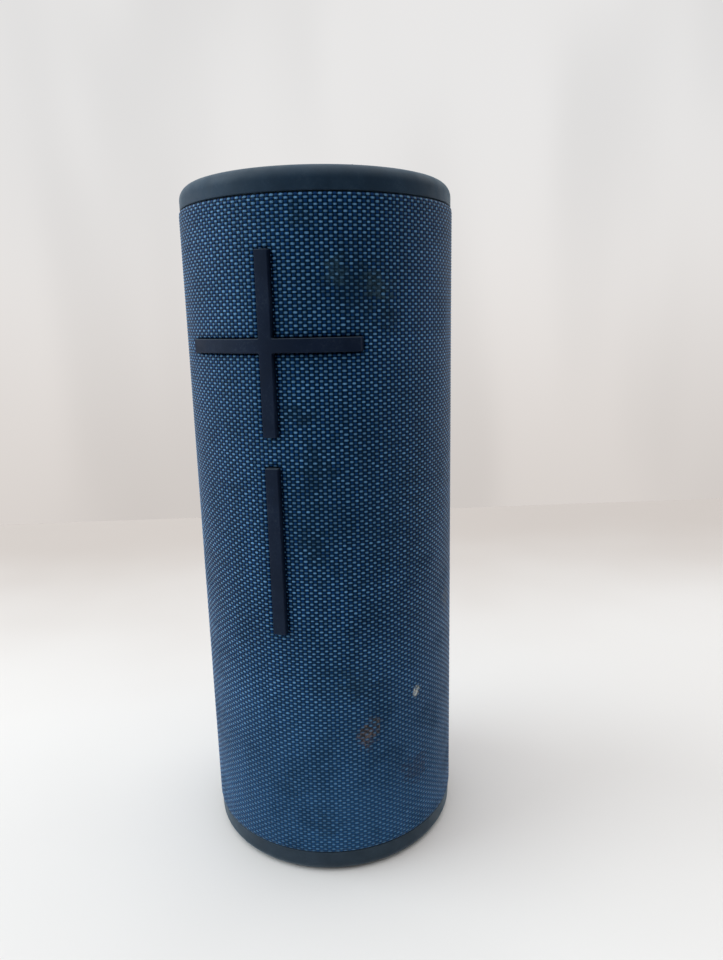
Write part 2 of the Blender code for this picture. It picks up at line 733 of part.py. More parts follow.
def ring_plate(name, half_sizes, hole_half_sizes, low, high, side, surface):
    """A racetrack plate on one flat, from low to high off the axis, with a hole if it has one."""
    turn = Matrix(((0, 0, side), (side, 0, 0), (0, 1, 0))).to_euler()
    outline = stadium(*half_sizes)
    place = (side * low, 0, RADIATOR_Z)
    plate = prism(name, outline, high - low, surface, place, turn)
    if hole_half_sizes:
        place = (side * (low - MM), 0, RADIATOR_Z)
        hole = stadium(*hole_half_sizes)
        cut(plate, prism(name + "_hole", hole, high - low + 2 * MM, None, place, turn))
    return plate


def radiator(name, side):
    seat = FLAT_X + GAP
    frame_top = seat + 1.5 * MM
    ring_plate("radiator_frame_" + name, FRAME_HALF, FRAME_HOLE_HALF, seat, frame_top, side, steel)
    hole = (PISTON_HALF[0] + GAP, PISTON_HALF[1] + GAP)
    low, high = frame_top + GAP, frame_top + 1.7 * MM
    ring_plate("radiator_surround_" + name, ROLL_HALF, hole, low, high, side, seal_rubber)
    low, high = 26.0 * MM, 27.6 * MM
    ring_plate("radiator_piston_" + name, PISTON_HALF, None, low, high, side, cone_paper)
    low, high = 23.0 * MM, 25.7 * MM
    ring_plate("radiator_weight_" + name, WEIGHT_HALF, None, low, high, side, steel)


for side_name, side_sign in SIDES:
    driver(side_name, side_sign)
    radiator(side_name, side_sign)

# ---------------------------------------------------------------- battery, main board and wiring

# two cells side by side in one shrink-wrapped pack
prism(
    "battery_pack",
    stadium(CELL_R, CELL_X + CELL_R, 12),
    CELL_TOP - CELL_BOTTOM,
    cell_wrap,
    (0, 0, CELL_BOTTOM),
    (0, 0, math.pi / 2),
)


def battery_holder():
    """A back plate with a shelf under the pack and another over it."""
    half_x, back, wall = 18.0 * MM, CELL_R + GAP, 1.5 * MM
    low, high = CELL_BOTTOM - GAP - wall, CELL_TOP + GAP + wall
    holder = box("battery_holder", (-half_x, back, low), (half_x, back + wall, high), chassis_plastic)
    for name, shelf in (("lower", low), ("upper", high - wall)):
        corners = ((-half_x, -CELL_R + MM, shelf), (half_x, back + wall / 2, shelf + wall))
        join(holder, box(name + "_shelf", *corners))


battery_holder()


def main_board():
    """The amplifier and radio board, with its chips, capacitors and connector soldered on."""
    face = 14.0 * MM
    board = box("main_board", (-15 * MM, face, 28 * MM), (15 * MM, face + BOARD, 95 * MM), board_green)
    chips = (
        ("amplifier", -2, 44, 9, 9, 1.2),
        ("radio", 4, 66, 10, 8, 1.0),
        ("charger", -8, 82, 6, 6, 1.0),
        ("connector", 9, 88, 8, 5, 3.6),
    )
    for name, x, z, wide, tall, rise in chips:
        low = ((x - wide / 2) * MM, face + BOARD / 2, (z - tall / 2) * MM)
        high = ((x + wide / 2) * MM, face + BOARD + rise * MM, (z + tall / 2) * MM)
        join(board, box(name + "_chip", low, high))
    for number in range(3):
        x, z = (-11 + 5.5 * number) * MM, 56 * MM
        ends = ((x, face + BOARD / 2, z), (x, face + BOARD + 5 * MM, z))
        join(board, rod(f"capacitor_{number + 1}", 2.2 * MM, *ends, sides=12))
    return board


main_board()

def usb_socket():
    """The charging receptacle on its small board."""
    front = 29.9 * MM
    shell = box(
        "usb_socket",
        (-4.0 * MM, 24.2 * MM, PORT_Z - 1.6 * MM),
        (4.0 * MM, front, PORT_Z + 1.4 * MM),
        steel,
    )
    mouth = box(
        "usb_mouth",
        (-3.5 * MM, 25.6 * MM, PORT_Z - 1.1 * MM),
        (3.5 * MM, front + 1 * MM, PORT_Z + 0.9 * MM),
    )
    cut(shell, mouth)
    tongue = box(
        "usb_tongue",
        (-2.4 * MM, 25.0 * MM, PORT_Z - 0.2 * MM),
        (2.4 * MM, front - 0.8 * MM, PORT_Z + 0.3 * MM),
    )
    board = box(
        "usb_board",
        (-8 * MM, 16.5 * MM, PORT_Z - 3.0 * MM),
        (8 * MM, BEZEL_BACK - GAP, PORT_Z - 1.4 * MM),
    )
    return join(shell, tongue, board)


def port_bezel():
    bezel = box(
        "port_bezel",
        (-bezel_x, BEZEL_BACK, PORT_Z - bezel_z),
        (bezel_x, BEZEL_FRONT, PORT_Z + bezel_z),
        seal_rubber,
    )
    hole = box(
        "bezel_hole",
        (-PORT_HOLE[0] / 2, BEZEL_BACK - 1 * MM, PORT_Z - PORT_HOLE[1] / 2),
        (PORT_HOLE[0] / 2, BEZEL_FRONT + 1 * MM, PORT_Z + PORT_HOLE[1] / 2),
    )
    return cut(bezel, hole)


usb_socket()
port_bezel()
flap_shape("usb_flap", 0.0, FLAP_IN, FLAP_R, cap_rubber)

CABLE_ROUTE = (
    (9, 20.0, 88),
    (9, 22.5, 91),
    (10, 24.0, 98),
    (12, 24.0, 112),
    (12, 23.5, 130),
    (12, 22.0, 148),
    (12, 20.5, 160),
    (12, 20.0, 167),
    (12, 20.0, 171.3),
)


def key_cable():
    """The lead from the main board up to the key board, through the chassis's top shelf."""
    curve = bpy.data.curves.new("key_cable", "CURVE")
    curve.dimensions = "3D"
    curve.bevel_depth = 0.9 * MM
    curve.bevel_resolution = 1
    curve.use_fill_caps = True
    line = curve.splines.new("POLY")
    line.points.add(len(CABLE_ROUTE) - 1)
    for point, place in zip(line.points, CABLE_ROUTE):
        point.co = (*(part * MM for part in place), 1.0)
    made = bpy.data.objects.new("key_cable", curve)
    parts.objects.link(made)
    curve.materials.append(seal_rubber)


key_cable()

# ---------------------------------------------------------------- hanging loop


def hang_loop():
    """A strap that leaves the back, runs down it and goes in again."""
    corner_y = STRAP_Y - STRAP_BEND
    upper = arc((corner_y, STRAP_TOP - STRAP_BEND), STRAP_BEND, math.pi / 2, 0.0, 6)
    lower = arc((corner_y, STRAP_BOTTOM + STRAP_BEND), STRAP_BEND, 0.0, -math.pi / 2, 6)
    route = [(STRAP_END_Y, STRAP_TOP), *upper, *lower, (STRAP_END_Y, STRAP_BOTTOM)]
    bm = bmesh.new()
    rows = [
        [bm.verts.new((x, y, z)) for x in (-STRAP_WIDTH / 2, STRAP_WIDTH / 2)] for y, z in route
    ]
    for here, following in zip(rows, rows[1:]):
        bm.faces.new((here[0], here[1], following[1], following[0]))
    made = placed("hang_loop", mesh_from("hang_loop", bm), webbing)
    strap = made.modifiers.new("strap", "SOLIDIFY")
    strap.thickness = STRAP_THICK
    strap.offset = 0.0
    strap.use_even_offset = True
    return made


hang_loop()
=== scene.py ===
"""Looks of the portable bluetooth speaker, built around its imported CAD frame.

Frame: metres, +Z up, origin at the centre of the underside, volume keys facing -Y.
"""

import json
import math
from random import Random

import bmesh
import bpy
import numpy as np
from mathutils import Matrix, Vector


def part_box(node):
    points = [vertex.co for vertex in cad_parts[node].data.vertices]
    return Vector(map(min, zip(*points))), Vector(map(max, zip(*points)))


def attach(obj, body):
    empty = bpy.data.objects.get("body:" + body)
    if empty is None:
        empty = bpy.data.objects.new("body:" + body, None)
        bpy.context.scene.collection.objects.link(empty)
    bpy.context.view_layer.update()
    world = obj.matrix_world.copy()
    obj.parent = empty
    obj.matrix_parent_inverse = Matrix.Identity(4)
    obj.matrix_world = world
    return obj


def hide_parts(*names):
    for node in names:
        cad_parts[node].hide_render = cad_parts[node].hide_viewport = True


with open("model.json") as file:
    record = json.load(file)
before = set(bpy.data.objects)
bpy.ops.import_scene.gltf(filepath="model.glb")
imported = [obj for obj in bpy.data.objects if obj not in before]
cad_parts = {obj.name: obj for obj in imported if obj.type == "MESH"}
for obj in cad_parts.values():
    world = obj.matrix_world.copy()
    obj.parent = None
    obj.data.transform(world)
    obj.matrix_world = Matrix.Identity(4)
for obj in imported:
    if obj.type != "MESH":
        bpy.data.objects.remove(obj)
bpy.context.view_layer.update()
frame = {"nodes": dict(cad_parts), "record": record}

MM = 0.001
SLEEVE_LOW, SLEEVE_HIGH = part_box("fabric_sleeve")
CAP_LOW, CAP_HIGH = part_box("top_cap")
_, BASE_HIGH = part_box("base_cap")
PLUS_LOW, PLUS_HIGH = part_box("plus_button")
MINUS_LOW, MINUS_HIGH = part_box("minus_button")
FLAP_LOW, FLAP_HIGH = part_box("usb_flap")
LOOP_LOW, LOOP_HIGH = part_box("hang_loop")
_, FOOT_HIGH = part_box("foot_ring")
BEZEL_LOW, BEZEL_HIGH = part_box("port_bezel")

# Weave of the sleeve: warp ends run up it, and weft picks run round it
ENDS = 206
PICKS = 226
SLEEVE_R = SLEEVE_HIGH.x
SLEEVE_WALL = 1.2 * MM
SLEEVE_IN = SLEEVE_R - SLEEVE_WALL
PICK_PITCH = (SLEEVE_HIGH.z - SLEEVE_LOW.z) / PICKS
WARP_DIP, VALLEY_DIP, RIM_DIP, TUCK_DIP = 0.05 * MM, 0.15 * MM, 0.10 * MM, 0.40 * MM
WINDOW_GAP = 0.12 * MM

# The sleeve's points are numbered along each row: first its outer face, then its crowns, then inside
WIDE = ENDS + 1
FIRST_CROWN = WIDE * (PICKS + 1)
FIRST_INNER = FIRST_CROWN + ENDS * PICKS

# Volume keys
KEY_FACE = -PLUS_LOW.y
KEY_DEPTH = 1.8 * MM
KEY_HALF = 1.68 * MM
KEY_EDGE = 0.22 * MM
PLUS_Z = (PLUS_LOW.z + PLUS_HIGH.z) / 2
CAP_R = CAP_HIGH.x
DECK_TOP = CAP_HIGH.z - 0.7 * MM
FINE, COARSE, SMALL = 256, 96, 32  # facets round the large, middling and small turned pieces
random = Random(7)


# ---------------------------------------------------------------- meshes


def new_object(name, bm, sharp=40):
    """An object from a finished mesh, smooth but for its sharp edges."""
    bmesh.ops.recalc_face_normals(bm, faces=bm.faces)
    mesh = bpy.data.meshes.new(name)
    bm.to_mesh(mesh)
    bm.free()
    made = bpy.data.objects.new(name, mesh)
    bpy.context.scene.collection.objects.link(made)
    mesh.shade_smooth()
    mesh.set_sharp_from_angle(angle=math.radians(sharp))
    return made


def piece(made, body, material, slot, *nodes):
    """Give a piece its material, the body it moves with and the CAD nodes it stands for; its slot is not
    used.
    """
    made.data.materials.clear()
    made.data.materials.append(material)
    normals = made.modifiers.new("weighted_normals", "WEIGHTED_NORMAL")
    normals.keep_sharp = True
    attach(made, body)
    if nodes:
        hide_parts(*nodes)
    return made


def corner_arc(before, here, after, radius, steps):
    """The arc that rounds a corner, as its centre and its spokes."""
    here = Vector(here)
    back, ahead = (Vector(before) - here).normalized(), (Vector(after) - here).normalized()
    half = back.angle(ahead) / 2
    centre = here + (back + ahead).normalized() * radius / math.sin(half)
    first = here + back * radius / math.tan(half) - centre
    last = here + ahead * radius / math.tan(half) - centre
    start = math.atan2(first.y, first.x)
    swing = (math.atan2(last.y, last.x) - start + math.pi) % (2 * math.pi) - math.pi
    angles = [start + swing * step / steps for step in range(steps + 1)]
    return centre, [Vector((math.cos(a), math.sin(a))) * radius for a in angles]


def filleted(corners, steps=5):
    """A (radius, height) profile from corners that may each say the radius of their fillet."""
    points = []
    for number, (x, z, *fillet) in enumerate(corners):
        if fillet:
            before, after = corners[number - 1][:2], corners[(number + 1) % len(corners)][:2]
            centre, spokes = corner_arc(before, (x, z), after, fillet[0], steps)
            points += [tuple(centre + spoke) for spoke in spokes]
        else:
            points.append((x, z))
    return points


def turned(name, corners, sides=COARSE, centre=(0.0, 0.0), steps=5):
    """A profile turned about a vertical axis: closed into a ring if neither end is on the axis."""
    bm = bmesh.new()
    profile = filleted(corners, steps)
    points = [bm.verts.new((radius, 0.0, height)) for radius, height in profile]
    edges = [bm.edges.new(pair) for pair in zip(points, points[1:])]
    if min(profile[0][0], profile[-1][0]) > 0:
        edges.append(bm.edges.new((points[-1], points[0])))
    bmesh.ops.spin(
        bm, geom=points + edges, axis=(0, 0, 1), cent=(0, 0, 0), steps=sides, angle=2 * math.pi
    )
    bmesh.ops.remove_doubles(bm, verts=bm.verts, dist=1e-6)
    bmesh.ops.translate(bm, vec=(*centre, 0.0), verts=bm.verts)
    return new_object(name, bm)


def rounded(corners, radius, steps=5):
    """A closed outline with round corners, from anticlockwise corners, as (point, outward) pairs."""
    outline = []
    for number, here in enumerate(corners):
        before, after = corners[number - 1], corners[(number + 1) % len(corners)]
        centre, spokes = corner_arc(before, here, after, radius, steps)
        turn = (Vector(here) - Vector(before)).cross(Vector(after) - Vector(here))
        side = 1 if turn > 0 else -1
        outline += [(centre + spoke, spoke.normalized() * side) for spoke in spokes]
    return outline


def oblong(half_x, low, high, radius):
    return rounded([(-half_x, low), (half_x, low), (half_x, high), (-half_x, high)], radius)


def stroke(path, half, steps=5):
    """The outline of a line of even width with round ends, as (point, outward) pairs."""
    path = [Vector(point) for point in path]
    outline = []
    for line in (path, path[::-1]):
        for number, here in enumerate(line):
            run = line[min(number + 1, len(line) - 1)] - line[max(number - 1, 0)]
            out = Vector((run.y, -run.x)).normalized()
            outline.append((here + out * half, out))
        for step in range(1, steps):
            turn = math.pi * step / steps
            spin = Matrix.Rotation(turn, 2)
            outline.append((line[-1] + spin @ out * half, spin @ out))
    return outline


def slab(outline, rings):
    """A solid from an outline in XZ: each ring draws it in by an inset, at a depth along Y."""
    bm = bmesh.new()
    loops = [
        [bm.verts.new((p.x - out.x * inset, depth, p.y - out.y * inset)) for p, out in outline]
        for inset, depth in rings
    ]
    for lower, upper in zip(loops, loops[1:]):
        for number in range(len(outline)):
            after = (number + 1) % len(outline)
            bm.faces.new((lower[number], lower[after], upper[after], upper[number]))
    bm.faces.new(loops[0])
    bm.faces.new(loops[-1])
    return bm


def edge_rings(depth, radius, steps=4):
    """Rings for a slab that is rounded over at its front: (inset, depth), from the back forwards."""
    angles = [math.pi / 2 * step / steps for step in range(steps + 1)]
    curve = [(radius * (1 - math.cos(a)), radius * (1 - math.sin(a))) for a in angles]
    return [(0.0, depth), *curve]


def wrap(bm, radius, facing, column=0.8 * MM):
    """Bend a slab onto a cylinder about Z, on the side it faces: -1 for the front, 1 for the back."""
    count = int(max(vert.co.x for vert in bm.verts) / column)
    for number in range(-count, count + 1):
        everything = bm.verts[:] + bm.edges[:] + bm.faces[:]
        place = ((number + 0.01) * column, 0, 0)
        bmesh.ops.bisect_plane(bm, geom=everything, dist=1e-7, plane_co=place, plane_no=(1, 0, 0))
    for vert in bm.verts:
        vert.co.y = facing * math.sqrt((radius - vert.co.y) ** 2 - vert.co.x**2)
    return bm


def lay(bm, centre, top):
    """Lay a slab flat on a deck, its front upwards."""
    for vert in bm.verts:
        vert.co = (centre[0] + vert.co.x, centre[1] + vert.co.z, top - vert.co.y)
    return bm


def combine(made, other, operation):
    """Cut the other shape out of a piece, or join it on, for good."""
    step = made.modifiers.new("combine", "BOOLEAN")
    step.object, step.operation, step.solver = other, operation, "EXACT"
    bpy.context.view_layer.update()
    seen = made.evaluated_get(bpy.context.evaluated_depsgraph_get())
    mesh = bpy.data.meshes.new_from_object(seen)
    made.modifiers.clear()
    made.data = mesh
    mesh.set_sharp_from_angle(angle=math.radians(40))
    bpy.data.objects.remove(other)
    return made


def cut(made, other):
    return combine(made, other, "DIFFERENCE")


def join(made, other):
    return combine(made, other, "UNION")


# ---------------------------------------------------------------- materials


class Term:
    """An output in a material's node tree, which can be used in arithmetic."""

    def __init__(self, graph, socket):
        self.graph, self.socket = graph, socket

    def __add__(self, other):
        return self.graph.math("ADD", self, other)

    def __sub__(self, other):
        return self.graph.math("SUBTRACT", self, other)

    def __rsub__(self, other):
        return self.graph.math("SUBTRACT", other, self)

    def __mul__(self, other):
        return self.graph.math("MULTIPLY", self, other)

    def __truediv__(self, other):
        return self.graph.math("DIVIDE", self, other)

    def __pow__(self, other):
        return self.graph.math("POWER", self, other)

    __radd__, __rmul__ = __add__, __mul__


class Graph:
    """The node tree of a material or world as formulas: most methods add a node and return its output."""

    def __init__(self, owner, shader="Principled BSDF", **constants):
        owner.use_nodes = True
        self.owner, self.tree = owner, owner.node_tree
        self.shader = self.tree.nodes[shader]
        self.set(**constants)

    def set(self, **inputs):
        """Give the shader's inputs their values, and return the material or world."""
        for name, value in inputs.items():
            self.put(self.shader.inputs[name.replace("_", " ")], value)
        return self.owner

    def put(self, socket, value):
        if isinstance(value, Term):
            self.tree.links.new(value.socket, socket)
        elif isinstance(value, tuple) and len(value) == 3 and len(socket.default_value) == 4:
            socket.default_value = (*value, 1.0)
        else:
            socket.default_value = value

    def node(self, kind, inputs=None, out=0, **settings):
        made = self.tree.nodes.new("ShaderNode" + kind)
        for name, value in settings.items():
            setattr(made, name, value)
        for name, value in (inputs or {}).items():
            self.put(made.inputs[name], value)
        return Term(self, made.outputs[out])

    def math(self, operation, *values):
        return self.node("Math", dict(enumerate(values)), operation=operation)

    def place(self):
        return self.node("TexCoord", out="Object")

    def split(self, vector):
        return [self.node("SeparateXYZ", {0: vector}, out=axis) for axis in range(3)]

    def vector(self, x, y, z=0.0):
        return self.node("CombineXYZ", {0: x, 1: y, 2: z})

    def stretch(self, vector, x, y, z):
        return self.node("VectorMath", {0: vector, 1: (x, y, z)}, operation="MULTIPLY")

    def noise(self, vector, size, detail=2.0, rough=0.5):
        """Noise about 0.5 with features of that size, in the vector's units."""
        inputs = {"Vector": vector, "Scale": 1 / size, "Detail": detail, "Roughness": rough}
        return self.node("TexNoise", inputs)

    def chance(self, vector):
        """A different random number from 0 to 1 for each value of a vector."""
        return self.node("TexWhiteNoise", {"Vector": vector})

    def ramp(self, value, low, high, start=0.0, end=1.0):
        """Goes smoothly from start to end as the value goes from low to high."""
        inputs = {0: value, 1: low, 2: high, 3: start, 4: end}
        return self.node("MapRange", inputs, interpolation_type="SMOOTHSTEP")

    def mix(self, share, low, high):
        return self.node("Mix", {0: share, 6: low, 7: high}, out=2, data_type="RGBA")

    def shade(self, colour, factor):
        """A colour made lighter or darker by a factor."""
        grey = self.node("CombineColor", {0: factor, 1: factor, 2: factor})
        inputs = {0: 1.0, 6: colour, 7: grey}
        return self.node("Mix", inputs, out=2, data_type="RGBA", blend_type="MULTIPLY")

    def bump(self, height):
        """A surface normal from a height in metres."""
        return self.node("Bump", {"Height": height, "Strength": 1.0, "Distance": 1.0})


def surface(name, roughness=0.5, **constants):
    return Graph(bpy.data.materials.new(name), Roughness=roughness, **constants)


# The pale colour of a dusty film, also used as painted top light on faces that point up
DUST_AND_TOP_LIGHT = (0.115, 0.15, 0.18)


def moulded(name, colour, roughness, grain, depth, spread=0.25, film=0.0, **constants):
    """Rubber, plastic or paper: moulded grain, uneven colour, and a dusty film that is paler on faces
    that point up, partly as painted top light.
    """
    g = surface(name, **constants)
    place = g.place()
    cloud = g.noise(place, 9 * MM, 4.0, 0.6)
    fleck = g.noise(place, 0.6 * MM, 3.0, 0.7)
    skin = g.shade(colour, g.ramp(cloud, 0.3, 0.7, 1 - spread, 1 + spread))
    _, _, up = g.split(g.node("NewGeometry", out="Normal"))
    # Painted top light: faces that point up are made paler, partly a dusty film and partly standing in
    # for light from above
    top_dust_and_light = g.ramp(up, 0.05, 0.85, 0.0, film * 3.0)
    dust_and_top_light = g.ramp(fleck * 0.6 + cloud * 0.4, 0.50, 0.68, 0.0, film) + top_dust_and_light
    shade = g.mix(dust_and_top_light, skin, DUST_AND_TOP_LIGHT)
    pebble = g.node("TexVoronoi", {"Vector": place, "Scale": 1 / grain}, feature="SMOOTH_F1")
    height = g.noise(place, grain, 3.0, 0.6) * depth + pebble * depth * 0.7
    wear = g.ramp(g.noise(place, 4 * MM, 3.0), 0.35, 0.65, roughness - 0.06, roughness + 0.06)
    return g.set(Base_Color=shade, Roughness=wear + dust_and_top_light * 0.3, Normal=g.bump(height))


def metal(name, colour, roughness, scratches=0.004 * MM):
    """Metal with fine scratches one way and a little tarnish."""
    g = surface(name, Metallic=1.0)
    place = g.place()
    brushed = g.noise(g.stretch(place, 1.0, 1.0, 14.0), 1.2 * MM, 4.0, 0.7)
    tarnish = g.noise(place, 5 * MM, 4.0, 0.6)
    shade = g.mix(g.ramp(tarnish, 0.35, 0.75, 0.0, 0.5), colour, tuple(0.55 * part for part in colour))
    rough = g.ramp(tarnish + brushed * 0.4, 0.4, 1.0, roughness - 0.08, roughness + 0.15)
    return g.set(Base_Color=shade, Roughness=rough, Normal=g.bump(brushed * scratches))


def yarns(g, crimp, weft_half, warp_half, swell):
    """A plain weave from the piece's own weave coordinates, counted in ends and picks.

    Returns the height of its surface in metres, how much of it is weft, how near each point is to the
    top of a weft crown, which crossing it is at, and the coordinates themselves.
    """
    place = g.node("Attribute", out="Vector", attribute_name="weave")
    u, v, _ = g.split(place)
    column, row = g.math("FLOOR", u), g.math("FLOOR", v)
    across, along = u - column - 0.5, v - row - 0.5
    sign = 1 - 2 * g.math("MODULO", column + row, 2.0)
    arch = g.math("COSINE", across * math.pi) * sign
    link = g.math("COSINE", along * math.pi) * sign

    def bulge(offset, half):
        inside = g.math("MAXIMUM", 1 - (offset / half) ** 2.0, 0.0)
        return g.math("SQRT", inside)

    def yarn(middle, offset, half):
        round_top = bulge(g.math("ABSOLUTE", offset), half)
        return middle * crimp + round_top * swell - (1 - g.ramp(round_top, 0.0, 0.3)) * crimp

    weft = yarn(arch, along, weft_half)
    warp = yarn(link * -1.0, across, warp_half)
    is_weft = g.ramp(weft - warp, -0.015 * MM, 0.015 * MM)
    height = g.math("MAXIMUM", weft, warp)
    crown = bulge(across, 0.54) * bulge(along, weft_half * 1.05)
    return height, is_weft, crown, g.vector(column, row), u, v


def woven(name, weft_and_highlight_colours, warp_colour, crimp, weft_half, warp_half, swell, soil=None, **constants):
    """Cloth of filament yarns in a plain weave, whose weft has a low colour and a paler painted highlight
    on its crowns, with painted shade where the yarns sink between each other.
    """
    g = surface(name, **constants)
    height, is_weft, crown, cell, u, v = yarns(g, crimp, weft_half, warp_half, swell)
    column, row, _ = g.split(cell)
    pick = g.chance(g.vector(row, 3.0))
    end = g.chance(g.vector(column, 7.0))
    stitch = g.chance(cell)
    # Painted highlight: the weft is mixed towards its paler second colour near the top of each crown
    painted_crest_highlight = g.ramp(crown, 0.32, 1.0)
    weft = g.shade(g.mix(painted_crest_highlight, *weft_and_highlight_colours), 0.76 + pick * 0.20 + stitch * 0.36)
    warp = g.shade(warp_colour, 0.80 + end * 0.30 + stitch * 0.18)
    strands = g.noise(g.vector(u * 1.2, v * 9.0), 1.0, 1.0)
    plies = g.noise(g.vector(u * 13.0, v * 1.0), 1.0, 1.0)
    filament = is_weft * strands + (1 - is_weft) * plies
    cloth = g.mix(is_weft, warp, weft)
    cloth = g.shade(cloth, g.ramp(filament, 0.25, 0.75, 0.8, 1.15))
    # Painted shade: the cloth is darkened where the yarns sink into the gaps between them
    painted_gap_shade = g.ramp(height, crimp * 0.2, crimp * 0.8 + swell, 0.0, 1.0)
    cloth = g.shade(cloth, painted_gap_shade)
    rough = 0.50 - is_weft * 0.14
    if soil:
        cloth, rough = soil(g, cloth, rough, stitch, painted_crest_highlight * is_weft)
    relief = height * 0.8 + filament * 0.012 * MM
    return g.set(Base_Color=cloth, Roughness=rough, Normal=g.bump(relief))


# Soiled spots: degrees round from the front, height and radius in mm, colour and strength
SPOTS = (
    (27.0, 102.0, 24.0, (0.003, 0.011, 0.026), 0.24),
    (33.0, 157.0, 8.5, (0.003, 0.010, 0.024), 0.50),
    (26.5, 160.5, 2.8, (0.026, 0.056, 0.080), 0.55),
    (42.5, 157.5, 3.8, (0.022, 0.042, 0.060), 0.80),
    (14.0, 173.5, 3.2, (0.005, 0.014, 0.026), 0.30),
    (9.4, 127.6, 3.6, (0.003, 0.009, 0.020), 0.50),
    (18.0, 114.4, 4.6, (0.003, 0.010, 0.022), 0.45),
    (14.4, 94.0, 4.0, (0.003, 0.010, 0.022), 0.40),
    (48.1, 149.8, 3.0, (0.003, 0.008, 0.016), 0.45),
    (34.9, 41.8, 3.2, (0.085, 0.064, 0.058), 0.90),
    (37.8, 44.6, 1.8, (0.080, 0.068, 0.062), 0.70),
    (59.4, 49.8, 1.3, (0.42, 0.43, 0.40), 0.85),
    (31.1, 56.8, 5.2, (0.010, 0.022, 0.024), 0.30),
    (58.4, 26.8, 4.6, (0.018, 0.014, 0.030), 0.45),
    (15.1, 16.0, 4.0, (0.006, 0.012, 0.020), 0.30),
    (85.4, 72.0, 3.4, (0.090, 0.095, 0.10), 0.40),
    (152.0, 64.0, 4.5, (0.070, 0.068, 0.066), 0.40),
    (-118.0, 38.0, 5.0, (0.008, 0.014, 0.022), 0.35),
    (-64.0, 92.0, 3.6, (0.006, 0.016, 0.030), 0.25),
)

DRIED_DIRT = 0.03  # a spot paler than this is dirt caught between the yarns, and a darker one is a stain
NAP = (0.026, 0.089, 0.205)


def soiled(g, cloth, rough, stitch, painted_crest_highlight):
    """Years of handling: mottled grime, a nap that dulls the weave lower down, stains, and dried dirt."""
    place = g.place()
    x, y, z = g.split(place)
    turn = g.math("ARCTAN2", x, y * -1.0)
    nap = g.ramp(z, 0.010, 0.085, 0.50, 0.0)
    cloth = g.mix(nap, cloth, NAP)
    mottle = g.noise(place, 11 * MM, 5.0, 0.62)
    low_down = g.ramp(z, 0.02, 0.15, 1.0, 0.45)
    grime = g.ramp(mottle, 0.46, 0.68) * low_down
    cloth = g.shade(cloth, 1 - grime * 0.26)
    handled = g.ramp(g.noise(place, 26 * MM, 2.0), 0.35, 0.7)
    cloth = g.shade(cloth, 0.90 + handled * 0.2)
    ragged = (g.noise(place, 2.6 * MM, 4.0, 0.75) - 0.5) * 2.8 + (stitch - 0.5) * 0.9
    between = 1 - painted_crest_highlight * 0.6
    flecks = g.ramp(g.noise(place, 0.8 * MM, 2.0), 0.38, 0.64, 0.35, 1.7)
    for degrees, height, radius, colour, strength in SPOTS:
        aside = (turn - math.radians(degrees)) * (SLEEVE_R / (radius * MM))
        above = (z - height * MM) / (radius * MM)
        reach = g.math("SQRT", aside * aside + above * above) + ragged
        spot = g.ramp(reach, 0.3, 1.2, strength, 0.0)
        if max(colour) > DRIED_DIRT:
            spot, colour = spot * between, g.shade(colour, flecks)
        cloth = g.mix(spot, cloth, colour)
    return cloth, rough + grime * 0.12


def printed_board():
    """Green board with copper tracks under the lacquer and tinned pads."""
    g = surface("circuit_board", 0.35)
    place = g.place()
    x, y, z = g.split(place)
    lanes = g.math("FRACT", (x + y) * 520.0 + g.math("FLOOR", z * 130.0) * 0.37)
    steps = g.math("FRACT", z * 610.0 + g.math("FLOOR", (x + y) * 95.0) * 0.41)
    track = g.math("MAXIMUM", g.ramp(lanes, 0.80, 0.86), g.ramp(steps, 0.84, 0.9))
    dots = g.node("TexVoronoi", {"Vector": place, "Scale": 420.0, "Randomness": 0.35})
    pad = g.ramp(dots, 0.20, 0.14)
    lacquer = g.mix(track, (0.006, 0.07, 0.028), (0.02, 0.17, 0.06))
    shade = g.mix(pad, lacquer, (0.62, 0.60, 0.55))
    height = (track + pad) * 0.03 * MM
    return g.set(Base_Color=shade, Roughness=0.30 + pad * 0.1, Normal=g.bump(height))


def shrink_wrap():
    """Blue film round the battery, a little wrinkled."""
    g = surface("cell_wrap", 0.25, Coat_Weight=0.4)
    place = g.place()
    crease = g.noise(g.stretch(place, 1.0, 1.0, 0.25), 3 * MM, 3.0, 0.6)
    shade = g.mix(g.ramp(crease, 0.4, 0.7), (0.03, 0.11, 0.30), (0.05, 0.17, 0.42))
    return g.set(Base_Color=shade, Roughness=g.ramp(crease, 0.3, 0.7, 0.2, 0.35),
                 Normal=g.bump(crease * 0.15 * MM))


# Each weft has a low colour and a paler colour that is a painted highlight on its crowns
FABRIC = woven(
    "woven_fabric", ((0.004, 0.041, 0.144), (0.118, 0.270, 0.455)), (0.003, 0.028, 0.120), 0.14 * MM,
    0.40, 0.36, 0.10 * MM, soiled, Specular_IOR_Level=0.20, Specular_Tint=(0.10, 0.58, 1.0),
)
WEBBING = woven(
    "webbing", ((0.012, 0.040, 0.090), (0.030, 0.075, 0.140)), (0.025, 0.065, 0.130), 0.10 * MM, 0.44,
    0.46, 0.10 * MM, Sheen_Weight=0.25, Sheen_Roughness=0.5, Specular_IOR_Level=0.35,
)
RUBBER_SHEEN = {
    "Specular_IOR_Level": 0.18,
    "Specular_Tint": (0.72, 0.90, 1.0),
    "Sheen_Weight": 0.22,
    "Sheen_Roughness": 0.35,
    "Sheen_Tint": (0.50, 0.78, 1.0),
}
CAP_GRAIN = (0.50, 0.30 * MM, 0.010 * MM, 0.15, 0.08)
